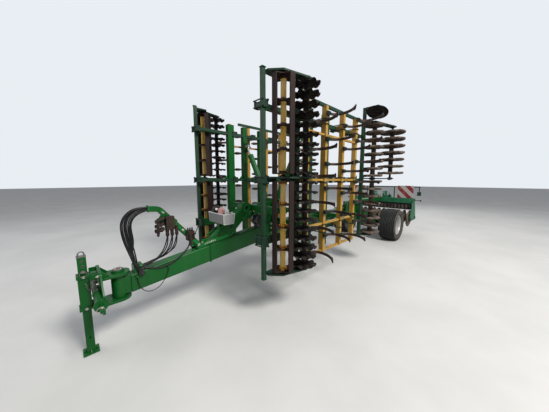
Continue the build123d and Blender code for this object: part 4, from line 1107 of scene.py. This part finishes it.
def tray_rim(bm):
    """Folded edges at the top and at the foot of the tray's walls."""
    x, front, back, z = 0.199, -2.455, -2.287, 1.201
    corners = ((-x, front, z), (x, front, z), (x, back, z), (-x, back, z))
    for start, end in zip(corners, corners[1:] + corners[:1]):
        add_bar(bm, start, end, 0.0060, 10)
    for side in BOTH:
        x = side * 0.185
        add_bar(bm, (x, -2.445, 1.068), (x, -2.297, 1.068), 0.0045, 8)
        for y, slant in ((-2.445, -0.010), (-2.297, 0.010)):
            add_bar(bm, (x, y, 1.068), (side * 0.200, y + slant, 1.200), 0.0045, 8)


single("tray_rim", "chassis", "plate", tray_rim)
BALL = Vector((-0.095, -2.392, 1.242))


def tray_ball(bm):
    """A worn ball on a short stem."""
    bmesh.ops.create_uvsphere(bm, u_segments=28, v_segments=16, radius=0.054, matrix=Matrix.Translation(BALL))
    for vert in bm.verts:
        vert.co += vert.normal * 0.0015 * noise.noise(vert.co * 40)
    add_bar(bm, BALL - Vector((0, 0, 0.120)), BALL - Vector((0, 0, 0.042)), 0.020, 16)


def ball_highlight(bm):
    """The ball's painted highlight: a pale cap turned towards the camera's place."""
    face = (Vector(CAMERA_PLACE) - BALL).normalized()
    add_bar(bm, BALL + face * 0.050, BALL + face * 0.0575, 0.017, 20, 0.012)


def tray_rods(bm):
    add_bar(bm, (0.150, -2.330, 1.090), (0.178, -2.310, 1.228), 0.011, 12)
    add_bar(bm, (-0.150, -2.340, 1.090), (-0.165, -2.325, 1.240), 0.008, 12)


def crumpled(bm, middle, size, seed):
    """A ball folded by noise, in place of a cloth."""
    made = bmesh.ops.create_icosphere(bm, subdivisions=4, radius=1.0)
    for vert in made["verts"]:
        way = vert.co.normalized()
        wide = noise.noise(way * 2.3 + Vector((seed, 0, 0)))
        fine = noise.noise(way * 6.0 + Vector((0, seed, 0)))
        fold = 1.0 + 0.42 * wide + 0.22 * fine
        vert.co = Vector(middle) + Vector((way.x * size[0], way.y * size[1], way.z * size[2])) * fold


def tray_cloth(bm):
    crumpled(bm, (0.004, -2.376, 1.212), (0.044, 0.040, 0.058), 2.1)


def tray_gloves(bm):
    crumpled(bm, (-0.030, -2.335, 1.200), (0.060, 0.034, 0.040), 5.7)


def tray_small_box(bm):
    add_box(bm, (0.098, -2.345, 1.190), (0.046, 0.042, 0.120), Matrix.Rotation(0.4, 4, "Z"))


single("tray_ball", "chassis", "black", tray_ball, smooth=50)
single("tray_rods", "chassis", "chrome", tray_rods)
# A pale cap on the ball, turned to the camera, as a painted highlight
single("ball_highlight", "chassis", "white", ball_highlight)
single("tray_cloth", "chassis", "rag", tray_cloth, smooth=60)
single("tray_gloves", "chassis", "redrag", tray_gloves, smooth=60)
single("tray_small_box", "chassis", "plate", tray_small_box, bevel=0.004)
BOTTLE_Y, BOTTLE_Z = -1.790, 1.045


def bottle_straps(bm):
    for x in (0.045, 0.155):
        add_collar(bm, (x, BOTTLE_Y, BOTTLE_Z), ACROSS, 0.0845, 0.0885, -0.013, 0.013)
        add_box(bm, (x, BOTTLE_Y - 0.094, BOTTLE_Z), (0.030, 0.018, 0.030))
        add_bolt(bm, (x, BOTTLE_Y - 0.100, BOTTLE_Z + 0.010), UP, 0.014)
        add_box(bm, (x, BOTTLE_Y, BOTTLE_Z - 0.088), (0.036, 0.090, 0.012))


def bottle_cap(bm):
    profile = [(0.218, 0.001), (0.218, 0.034), (0.226, 0.036), (0.244, 0.030), (0.256, 0.018), (0.260, 0.001)]
    add_ring(bm, profile, (0.0, BOTTLE_Y, BOTTLE_Z), ACROSS, 36)
    add_bar(bm, (0.258, BOTTLE_Y, BOTTLE_Z), (0.270, BOTTLE_Y, BOTTLE_Z), 0.012, 6)


single("bottle_straps", "chassis", "steel", bottle_straps, bevel=0.001)
single("bottle_cap", "chassis", "chrome", bottle_cap, smooth=50)


def tower_pins(bm):
    """Pin heads with linch pins at the tower's top, and at the lift cylinder's base."""
    for side in BOTH:
        for way in BOTH:
            place = Vector((side * BASE_PIN[0], BASE_PIN[1] + way * 0.045, BASE_PIN[2]))
            add_stack(bm, place, (0, way, 0), (0.0, 0.007, 0.031, 24), (0.0, 0.024, 0.0195, 20))
            add_stack(bm, place + Vector((0, way * 0.016, 0)), ACROSS, (-0.030, 0.030, 0.0035, 8))
    x, y, z = LIFT_BASE
    for way in BOTH:
        add_bar(bm, (x + way * 0.039, y, z), (x + way * 0.056, y, z), 0.0195, 20)
        add_bar(bm, (x + way * 0.049, y - 0.026, z), (x + way * 0.049, y + 0.026, z), 0.003, 8)


single("tower_pins", "chassis", "steel", tower_pins)


def chassis_gussets(bm):
    for side in BOTH:
        for way in BOTH:
            gusset(bm, (side * 0.030, BASE_PIN[1] + way * 0.045, 0.960), (0, way, 0), UP, 0.120, 0.012)
            for y in HINGE_YS:
                gusset(bm, (side * 0.070, y + way * 0.060, 0.940), (side, 0, 0), (0, way, 0), 0.110, 0.012)
        for y in HINGE_YS:
            add_collar(bm, (side * HINGE_X, y, HINGE_Z), ALONG, 0.0235, 0.040, -0.030, 0.030, 32)
        gusset(bm, (side * 0.030, 3.425, 1.110), FORWARD, UP, 0.090, 0.010)
    gusset(bm, (0.0, 1.150, 0.960), FORWARD, UP, 0.130, 0.014)
    add_box(bm, (0.0, 3.345, 1.050), (0.150, 0.160, 0.136))
    for y in (-1.506, 1.803):
        add_box(bm, (0.0, y, 0.840), (0.150, 0.012, 0.250))


single("chassis_gussets", "chassis", "green", chassis_gussets, bevel=0.002)
PIPE_X = -0.0815
PIPES = (
    # drop below the upper face, place along the machine where it ends
    (0.060, 0.840), (0.085, 0.800), (0.110, -1.300),
)


def steel_pipes(bm):
    """Three pipes from the valve along the drawbar and round its flange; two go on to the lift cylinder."""
    for number, (drop, end) in enumerate(PIPES):
        route = [
            (0.040, -2.815 - 0.018 * number, 0.940), (0.020, -2.805 - 0.016 * number, 0.850 + 0.004 * number),
            (-0.060, -2.780, 0.820 - 0.014 * number),
        ]
        route += [(PIPE_X, y, drawbar_faces(y)[1] - drop) for y in (-2.700, -2.650, -2.200, -1.700, -1.600)]
        for x, y, z in (
            (-0.112, -1.560, 0.935), (-0.135, -1.535, 0.930), (-0.135, -1.490, 0.925),
            (-0.112, -1.465, 0.920), (PIPE_X, -1.430, 0.915), (PIPE_X, -1.360, 0.890),
            (PIPE_X, -1.330, 0.880),
        ):
            route.append((x, y, z - drop))
        if number < 2:
            over = 0.972 + 0.018 * number
            route += [(PIPE_X, y, 0.880 - drop) for y in (-0.900, -0.300, 0.200, end - 0.10)]
            route += [
                (PIPE_X, end - 0.060, 0.900 - drop), (PIPE_X, end - 0.050, over - 0.030),
                (PIPE_X + 0.020, end - 0.045, over), (0.060, end - 0.030, over),
                (0.100, end - 0.010, over + 0.006), (0.112, end + 0.010, over + 0.016),
            ]
        add_tube(bm, route, 0.0075, 12)


def pipe_clamps(bm):
    places = [(y, drawbar_faces(y)[1] - 0.085) for y in (-2.500, -2.050, -1.680)]
    places += [(y, 0.795) for y in (-0.900, -0.450, 0.150)]
    for y, z in places:
        add_box(bm, (-0.083, y, z), (0.026, 0.034, 0.092))
        add_bolt(bm, (-0.096, y, z), (-1, 0, 0), 0.012)


single("steel_pipes", "chassis", "pipe", steel_pipes, smooth=60)
single("pipe_clamps", "chassis", "black", pipe_clamps, bevel=0.002)


def coupler_cluster(bm):
    """Couplers in three rows with sleeves and dust caps, and the valve with its fittings and lever."""
    add_box(bm, (0.072, -3.070, 1.170), (0.060, 0.090, 0.150))
    for y in (-3.100, -3.050, -3.000):
        add_stack(
            bm, (0.072, y, 1.020), UP, (0.0, 0.112, 0.0170, 18), (0.014, 0.036, 0.0195, 18),
            (0.050, 0.080, 0.0200, 18), (0.092, 0.106, 0.0185, 18),
        )
    for row in range(3):
        for column in range(3):
            start = Vector((0.040 + 0.030 * row, -3.118 - 0.012 * row, 1.235 - 0.062 * column))
            way = Vector((0.25 * (row - 1), -0.88, -0.42 + 0.12 * column)).normalized()
            add_stack(
                bm, start, way, (0.0, 0.050, 0.0150, 16), (0.018, 0.040, 0.0200, 16),
                (0.050, 0.074, 0.0175, 6), (0.074, 0.098, 0.0105, 14),
            )
            cap_top = start + way * 0.060 + Vector((0, 0, -0.016))
            cap_foot = start + way * 0.074 + Vector((0.010, 0, -0.052))
            add_bar(bm, cap_top, cap_foot, 0.0130, 14, 0.0100)
    add_box(bm, (0.060, -2.840, 0.980), (0.060, 0.090, 0.110))
    for y in (-2.866, -2.840, -2.814):
        add_stack(bm, (0.060, y, 1.035), UP, (0.0, 0.018, 0.0125, 6), (0.018, 0.040, 0.0085, 14))
    for y in (-2.866, -2.814):
        for z in (0.960, 1.005):
            add_stack(bm, (0.090, y, z), ACROSS, (0.0, 0.016, 0.0120, 6), (0.016, 0.034, 0.0080, 14))
    add_bar(bm, (0.060, -2.795, 0.990), (0.060, -2.770, 0.992), 0.0110, 14)
    add_bar(bm, (0.060, -2.778, 0.990), (0.064, -2.742, 1.070), 0.0050, 10)
    knob = Matrix.Translation((0.0645, -2.738, 1.078))
    bmesh.ops.create_uvsphere(bm, u_segments=14, v_segments=8, radius=0.011, matrix=knob)


single(
    "coupler_cluster", "chassis", "brown", coupler_cluster,
    replaces="coupler_block", slot="black_paint", bevel=0.001,
)


def rear_hardware(bm):
    """The lower rail behind the rear beam, with its holders and ends."""
    rail_y, rail_z, reach = 3.552, 1.040, 1.120
    add_bar(bm, (-reach, rail_y, rail_z), (reach, rail_y, rail_z), 0.0100, 14)
    for x in (-0.900, -0.300, 0.300, 0.900):
        add_box(bm, (x, 3.548, rail_z), (0.030, 0.014, 0.044))
    for side in BOTH:
        add_box(bm, (side * reach, rail_y, rail_z), (0.030, 0.016, 0.050))


def rear_plates(bm):
    """A tall front plate on the rear beam, its end lips, and brackets and boxes on its top."""
    add_box(bm, (0.0, 3.420, 1.032), (1.946, 0.010, 0.152))
    for side in BOTH:
        for x, height in ((0.130, 0.090), (0.175, 0.150), (0.285, 0.160), (0.330, 0.105)):
            gusset(bm, (side * x, 3.430, 1.100), ALONG, UP, height, 0.010)
            gusset(bm, (side * x, 3.540, 1.100), FORWARD, UP, height * 0.7, 0.010)
        for x, y, z, size in (
            (0.230, 3.485, 1.138, (0.120, 0.090, 0.076)),
            (0.185, 3.475, 1.200, (0.055, 0.060, 0.210)),
            (0.105, 3.475, 1.160, (0.045, 0.060, 0.130)),
            (0.145, 3.475, 1.262, (0.110, 0.046, 0.040)),
            (0.967, 3.4265, 0.865, (0.026, 0.010, 0.250)),
        ):
            add_box(bm, (side * x, y, z), size)


def rear_scrapers(bm):
    """Short scraper clamps on a plate under the rear beam."""
    add_box(bm, (0.0, 3.445, 0.985), (1.840, 0.050, 0.008))
    for x in spread(-0.882, 0.882, 19):
        add_box(bm, (x, 3.431, 0.845), (0.044, 0.014, 0.105))
        add_bolt(bm, (x, 3.424, 0.875), FORWARD, 0.014)


# A black plate behind the scraper clamps, as painted shade in the gaps between them
def scraper_shade_plate(bm):
    add_box(bm, (0.0, 3.443, 0.875), (1.860, 0.010, 0.230))


single("rear_hardware", "chassis", "dark", rear_hardware, bevel=0.001)
single("rear_plates", "chassis", "dustygreen", rear_plates, bevel=0.001)
single("rear_scrapers", "chassis", "iron", rear_scrapers)
# painted shade behind the scrapers
single("scraper_shade_plate", "chassis", "black", scraper_shade_plate)


def lens_pair(bm, low, high):
    for side in BOTH:
        add_box(bm, (side * 1.080, 3.512, (low + high) / 2), (0.078, 0.008, high - low))


single("red_lenses", "chassis", "red_lens", lambda bm: lens_pair(bm, 1.242, 1.290), bevel=0.003)
single("amber_lenses", "chassis", "amber_lens", lambda bm: lens_pair(bm, 1.190, 1.238), bevel=0.003)


def rear_bearings(bm):
    for side in BOTH:
        for y in CENTRE_ROWS:
            bearing(bm, (side * 0.960, y, ROLLER_Z), (-side, 0, 0), 0.058, 0.010)
            shaft_cap(bm, (side * 0.974, y, ROLLER_Z), (side, 0, 0), 0.052)
        for y in (3.440, 3.530):
            for z in (1.030, 1.075):
                add_bolt(bm, (side * 0.974, y, z), (side, 0, 0), 0.020)


single("rear_bearings", "chassis", "black", rear_bearings)


def axle_hardware(bm):
    """Pivot caps, bolted plates beside the wheels, webs and grease points of the axle."""
    pivot_y, pivot_z, wheel_y, wheel_z = LIFT_TIP[1], 0.840, WHEEL[1], WHEEL[2]
    for side in BOTH:
        out = (side, 0, 0)
        cap, nut = (0.0, 0.014, 0.042, 28), (0.014, 0.027, 0.024, 6)
        add_stack(bm, (side * 0.335, pivot_y, pivot_z), out, cap, nut)
        add_box(bm, (side * 0.494, wheel_y, wheel_z), (0.012, 0.150, 0.150))
        for y in (-0.055, 0.055):
            for z in (-0.055, 0.055):
                add_bolt(bm, (side * 0.500, wheel_y + y, wheel_z + z), out, 0.018)
        gusset(bm, (side * 0.245, 2.440, wheel_z), (-side, 0, 0), FORWARD, 0.110, 0.014)
        gusset(bm, (side * 0.335, 2.440, wheel_z), out, FORWARD, 0.090, 0.014)
        add_bar(bm, (side * 0.290, pivot_y, 0.905), (side * 0.290, pivot_y, 0.918), 0.006, 8)


single("axle_hardware", "axle", "green", axle_hardware, bevel=0.0015)


# Cylinders: the gland, end ring, ports and bands that ride on each barrel, and a pipe clamped to it
def cylinder_dress(bm, base, tip, length, side_way):
    base, side_way, radius = Vector(base), Vector(side_way).normalized(), 0.048
    way = (Vector(tip) - base).normalized()
    bore = 0.0225
    gland = [
        (-0.052, bore), (-0.052, radius + 0.004), (-0.006, radius + 0.004), (0.0, radius - 0.002),
        (0.0, bore),
    ]
    add_ring(bm, gland, base + way * length, way, 40)
    add_collar(bm, base + way * 0.101, way, radius - 0.010, radius + 0.003, 0.0, 0.012, 40)
    for along in (0.150, length - 0.090):
        seat = base + way * along + side_way * (radius - 0.004)
        add_stack(bm, seat, side_way, (0.0, 0.024, 0.015, 18), (0.024, 0.040, 0.012, 6))
    start, far, line = 0.170, length - 0.095, radius + 0.030
    add_tube(bm, [base + way * along + side_way * out for along, out in (
        (0.150, radius + 0.036), (start - 0.008, line), (start + 0.020, line - 0.016),
        (start + 0.050, line - 0.020), (far - 0.060, line - 0.020), (far - 0.026, line - 0.016),
        (far - 0.006, line), (far + 0.006, line),
    )], 0.0065, 10)
    for along in (0.32, 0.62):
        add_collar(bm, base + way * (length * along), way, radius - 0.001, radius + 0.0025, -0.008, 0.008, 40)


def fold_dress(bm):
    cylinder_dress(bm, BASE_PIN, FOLD_TIP, 0.930, (0.874, 0.0, -0.487))


def lift_dress(bm):
    cylinder_dress(bm, LIFT_BASE, LIFT_TIP, 0.520, UP)


pair("fold_barrel_dress", "fold_barrel", "green", fold_dress, smooth=40)
single("lift_barrel_dress", "lift_barrel", "green", lift_dress, smooth=40)


# Copies of solids whose corners are moved: slimmer frames, a lower tray and its stool
def reshaped(node, name, body, move, materials, choose=lambda x, y, z: 0):
    """A copy of a solid's mesh with its corners moved, shown in place of the solid."""
    mesh = nodes[node].data.copy()
    mesh.name = name
    mesh.materials.clear()
    for material in materials:
        mesh.materials.append(MAT[material])
    sign = -1 if node.startswith("right") else 1
    for vert in mesh.vertices:
        x, y, z = move(vert.co.x * sign, vert.co.y, vert.co.z)
        vert.co = (x * sign, y, z)
    for face in mesh.polygons:
        face.material_index = choose(face.center.x * sign, face.center.y, face.center.z)
    made = new_object(name, mesh)
    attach(made, body)
    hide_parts(node)


POST_X, POST_Y, BAR_ZS = 0.790, -2.290, (1.020, 1.650, 2.270)
POST_SLIM, BEAM_SLIM, BAR_SLIM, RAIL_SLIM = 0.54, 0.78, 0.56, 0.60


def drawn(value, middles, reach, share):
    """A coordinate drawn in towards the middle that it lies near to, or the same coordinate."""
    for middle in middles:
        if abs(value - middle) < reach:
            return middle + (value - middle) * share
    return value


def slim_post(x, y, z):
    if y < POST_Y + 0.0005 and x > POST_X:
        x = POST_X + (x - POST_X) * POST_SLIM
    if y < POST_Y - 0.0005:
        y = POST_Y + (y - POST_Y) * POST_SLIM
    return x, y, drawn(z, RAIL_ZS[1:], 0.0405, RAIL_SLIM)


def frame_finish(x, y, z):
    """The uprights and the hinge rail keep their green; posts and upper rails are weathered."""
    return int(x > 0.789 or y < -2.2 or any(abs(z - rail_z) < 0.0245 for rail_z in RAIL_ZS[1:]))


def slim_beams(x, y, z):
    z = drawn(z, BAR_ZS, 0.0255, BAR_SLIM)
    if abs(z - 0.650) < 0.0005:
        z = 0.628
    return x, drawn(y, BEAM_YS, 0.0405, BEAM_SLIM), z


# Floor, height and middle of the tray, as in the solid and as shown
TRAY_FLOOR, TRAY_HEIGHT, TRAY_MIDDLE = 1.110, 0.200, -2.355
LOW_FLOOR, LOW_HEIGHT, LOW_MIDDLE = 1.067, 0.134, -2.371


def low_tray(x, y, z):
    """The tray lower, less deep and with steeper walls."""
    up = (z - TRAY_FLOOR) / TRAY_HEIGHT
    x *= (0.185 + 0.015 * up) / (0.150 + 0.050 * up)
    y = LOW_MIDDLE + (y - TRAY_MIDDLE) * (0.075 + 0.010 * up) / (0.100 + 0.020 * up)
    return x, y, LOW_FLOOR + up * LOW_HEIGHT


def low_stool(x, y, z):
    """The stool under the tray ends at the lower floor."""
    return (x, y, LOW_FLOOR) if abs(z - TRAY_FLOOR) < 0.0006 and abs(x) < 0.036 else (x, y, z)


for side, _ in SIDES:
    wing = f"{side}_wing"
    reshaped(f"{wing}_frame", f"{side}_slim_wing_frame", wing, slim_post, ("green", "wing"), frame_finish)
    reshaped(f"{side}_tine_frame", f"{side}_slim_tine_frame", wing, slim_beams, ("yellow",))
# The lighter grey on the tray's +X face is painted light; the darker grey on its other faces is painted shade
reshaped("tool_box", "low_tool_box", "chassis", low_tray, ("tray", "sheet"), lambda x, y, z: int(x > 0.18))
reshaped("front_strut", "strut_with_low_stool", "chassis", low_stool, ("green",))


def warning_boards(bm):
    """Warning boards at their real size, each a thin plate with a folded rim and two stiffeners."""
    middle, z = 0.725, 1.285
    for side in BOTH:
        add_box(bm, (side * middle, 3.4675, z), (0.420, 0.004, 0.380))
        for x in (middle - 0.207, middle + 0.207):
            add_box(bm, (side * x, 3.4735, z), (0.006, 0.012, 0.380))
        for edge_z in (z - 0.187, z + 0.187):
            add_box(bm, (side * middle, 3.4735, edge_z), (0.420, 0.012, 0.006))
        for x in (middle - 0.15, middle + 0.15):
            add_box(bm, (side * x, 3.4775, z), (0.030, 0.006, 0.376))


single("striped_boards", "chassis", "stripes", warning_boards, replaces="warning_boards", bevel=0.001)


# Detail of the hitch head and the parking stand
HEAD_PIVOT_Y, FACE_Y, STAND_Y = -3.570, -3.705, -3.830
LINK_Y, LINK_Z = -3.745, 0.600


def coil(start, end, radius, turns, steps):
    """Points of a coil spring from one end to the other, with a short straight part at both."""
    start, end = Vector(start), Vector(end)
    turn, length = basis(end - start).to_3x3(), (end - start).length
    points = [start]
    for i in range(steps + 1):
        angle, along = tau * turns * i / steps, length * (0.12 + 0.76 * i / steps)
        points.append(start + turn @ Vector((radius * cos(angle), radius * sin(angle), along)))
    return points + [end]


def hitch_plates(bm):
    """Webs, bands and cheeks that stiffen the hitch head."""
    for side in BOTH:
        gusset(bm, (side * 0.070, FACE_Y, 0.727), ALONG, UP, 0.062, 0.012)
        gusset(bm, (side * 0.070, FACE_Y, 0.443), ALONG, DOWN, 0.040, 0.012)
        for way in BOTH:
            corner = (side * 0.160, FACE_Y - 0.012, LINK_Z + way * 0.034)
            gusset(bm, corner, (side, 0, 0), (0, 0, way), 0.150, 0.014)
        add_collar(bm, (side * 0.373, LINK_Y, LINK_Z), ACROSS, 0.019, 0.052, -0.006, 0.006, 36)
        add_box(bm, (side * 0.108, FACE_Y - 0.050, 0.770), (0.012, 0.060, 0.050))
        for z in (0.458, 0.765):
            add_box(bm, (side * 0.0465, STAND_Y, z), (0.008, 0.101, 0.030))
            add_box(bm, (0.0, STAND_Y + side * 0.0465, z), (0.085, 0.008, 0.030))


def hitch_fasteners(bm):
    """Bolts of the face, the stand's bands and the head pin's plate, and linch pins of the link pins."""
    for side in BOTH:
        for z in (0.435, 0.510, 0.700, 0.770):
            add_bolt(bm, (side * 0.135, FACE_Y - 0.025, z), FORWARD, 0.022)
        for z in (0.458, 0.765):
            add_bolt(bm, (side * 0.0505, STAND_Y, z), (side, 0, 0), 0.016)
        x = side * 0.478
        add_stack(bm, (x, LINK_Y, LINK_Z), UP, (-0.027, 0.030, 0.0045, 12), (0.026, 0.034, 0.010, 14))
        add_wire_ring(bm, (x, LINK_Y - 0.012, LINK_Z + 0.008), ACROSS, 0.026, 0.0022)
    for number in range(4):
        angle = tau * (number + 0.5) / 4
        add_bolt(bm, (0.032 * cos(angle), HEAD_PIVOT_Y + 0.032 * sin(angle), 0.757), UP, 0.011)


def hitch_springs(bm):
    """Return springs between the cheeks and the link bar, and the support pin's chain."""
    for side in BOTH:
        x, y = side * 0.108, FACE_Y - 0.070
        add_tube(bm, coil((x, y, 0.755), (x, y, 0.630), 0.013, 9, 90), 0.0022, 6)
        add_wire_ring(bm, (x, LINK_Y, LINK_Z), ACROSS, 0.0405, 0.0035)
    for number in range(9):
        part = number / 8
        sag = 0.045 * sin(pi * part) + 0.040 * part
        middle = (0.058, STAND_Y + 0.010 + 0.050 * part, 0.700 - sag)
        add_wire_ring(bm, middle, ACROSS if number % 2 else (0, 0.5, 1), 0.0075, 0.0017, 12)


def stand_hardware(bm):
    """Support pin with its rings, the lifting eye on its plate, and hole rims of the leg."""
    add_bar(bm, (-0.050, STAND_Y, 0.820), (0.062, STAND_Y, 0.820), 0.0072, 16)
    add_bar(bm, (0.052, STAND_Y, 0.820), (0.064, STAND_Y, 0.820), 0.013, 18)
    add_box(bm, (0.0, STAND_Y, 0.952), (0.069, 0.069, 0.006))
    for x, z, radius, wire, steps in (
        (0.060, 0.795, 0.025, 0.0025, 28), (-0.047, 0.806, 0.016, 0.002, 20), (0.0, 0.972, 0.022, 0.0060, 32),
        *((x, z, 0.0095, 0.0016, 20) for z in (0.865, 0.910) for x in (-0.0325, 0.0325)),
    ):
        add_wire_ring(bm, (x, STAND_Y, z), ACROSS, radius, wire, steps)


def stand_webs(bm):
    for side in BOTH:
        gusset(bm, (side * 0.032, STAND_Y, 0.012), (side, 0, 0), UP, 0.025, 0.008)
        gusset(bm, (0.0, STAND_Y + side * 0.032, 0.012), (0, side, 0), UP, 0.025, 0.008)


single("hitch_plates", "hitch", "green", hitch_plates, bevel=0.0015)
single("hitch_fasteners", "hitch", "zinc", hitch_fasteners)
single("hitch_springs", "hitch", "steel", hitch_springs, smooth=60)
single("stand_hardware", "stand", "steel", stand_hardware, smooth=50)
single("stand_webs", "stand", "green", stand_webs)


def drawbar_seam(bm):
    """The flanged seam round the drawbar."""
    seam_y = -2.585
    low, high = drawbar_faces(seam_y)
    for y in (seam_y - 0.0055, seam_y + 0.0055):
        for side in BOTH:
            add_box(bm, (side * 0.0745, y, (low + high) / 2), (0.009, 0.010, high - low + 0.012))
        for z in (low - 0.003, high + 0.003):
            add_box(bm, (0.0, y, z), (0.140, 0.010, 0.009))


def side_clamp(bm):
    """The side clamp of the hoses, and two bolts on the clamp above it."""
    for x, thick, deep in ((0.076, 0.012, 0.060), (0.100, 0.010, 0.050)):
        add_box(bm, (x, -3.382, 0.700), (thick, deep, 0.072))
    for z in (0.672, 0.728):
        add_bolt(bm, (0.105, -3.382, z), ACROSS, 0.012)
    for x in (-0.052, 0.052):
        add_bolt(bm, (x, -3.400, 0.765), UP, 0.016)


single("drawbar_seam", "chassis", "green", drawbar_seam, bevel=0.001)
single("side_clamp", "chassis", "black", side_clamp, bevel=0.001)


# Floor, sky and lamps
floor_material, floor_tree, floor_shader = node_tree("pale_floor")
f = Tree(floor_tree)
patches = f.ramp(f.noise(0.8, 4.0), 0.3, 0.7)
f.put(floor_shader.inputs["Base Color"], f.mix(patches, (0.50, 0.50, 0.49), (0.56, 0.555, 0.545)))
floor_shader.inputs["Roughness"].default_value = 0.85
floor_mesh = bpy.data.meshes.new("floor")
bm = bmesh.new()
bmesh.ops.create_grid(bm, x_segments=1, y_segments=1, size=60.0)
bm.to_mesh(floor_mesh)
bm.free()
floor_mesh.materials.append(floor_material)
new_object("floor", floor_mesh)

# The sky lights the model softly; the camera sees it paler, and glossy surfaces see a part of that
world = bpy.data.worlds.new("studio")
scene.world = world
world.use_nodes = True
sky = Tree(world.node_tree)
background = world.node_tree.nodes["Background"]
background.inputs["Color"].default_value = (0.90, 0.94, 1.0, 1.0)
background.inputs["Strength"].default_value = 0.42
pale = sky.add("Background", Color=(0.86, 0.90, 0.95, 1.0), Strength=0.95)
rays = sky.add("LightPath")
share = sky.add("Math")
share.operation = "MULTIPLY_ADD"
for number, value in enumerate((rays.outputs["Is Glossy Ray"], 0.35, rays.outputs["Is Camera Ray"])):
    sky.put(share.inputs[number], value)
mixed = sky.add("MixShader")
for number, value in enumerate((share.outputs[0], background.outputs[0], pale.outputs[0])):
    sky.put(mixed.inputs[number], value)
sky.put(world.node_tree.nodes["World Output"].inputs["Surface"], mixed.outputs[0])

LAMPS = (
    # name, place, aim, size, power, colour
    ("key", (8.0, -1.5, 9.0), (0.0, 0.0, 1.0), 3.0, 1500.0, (1.0, 0.97, 0.92)),
    ("fill", (-5.0, -9.0, 6.0), (0.0, -1.0, 1.0), 6.0, 260.0, (0.94, 0.97, 1.0)),
    ("rear", (-2.0, 9.0, 7.0), (0.0, 1.0, 1.0), 6.0, 300.0, (1.0, 1.0, 1.0)),
)
for name, place, aim, size, power, colour in LAMPS:
    data = bpy.data.lights.new(name, "AREA")
    data.size = size
    data.energy = power
    data.color = colour
    lamp = new_object(name, data)
    lamp.location = place
    lamp.rotation_mode = "QUATERNION"
    lamp.rotation_quaternion = (Vector(aim) - Vector(place)).to_track_quat("-Z", "Y")

scene.view_settings.view_transform = "Standard"
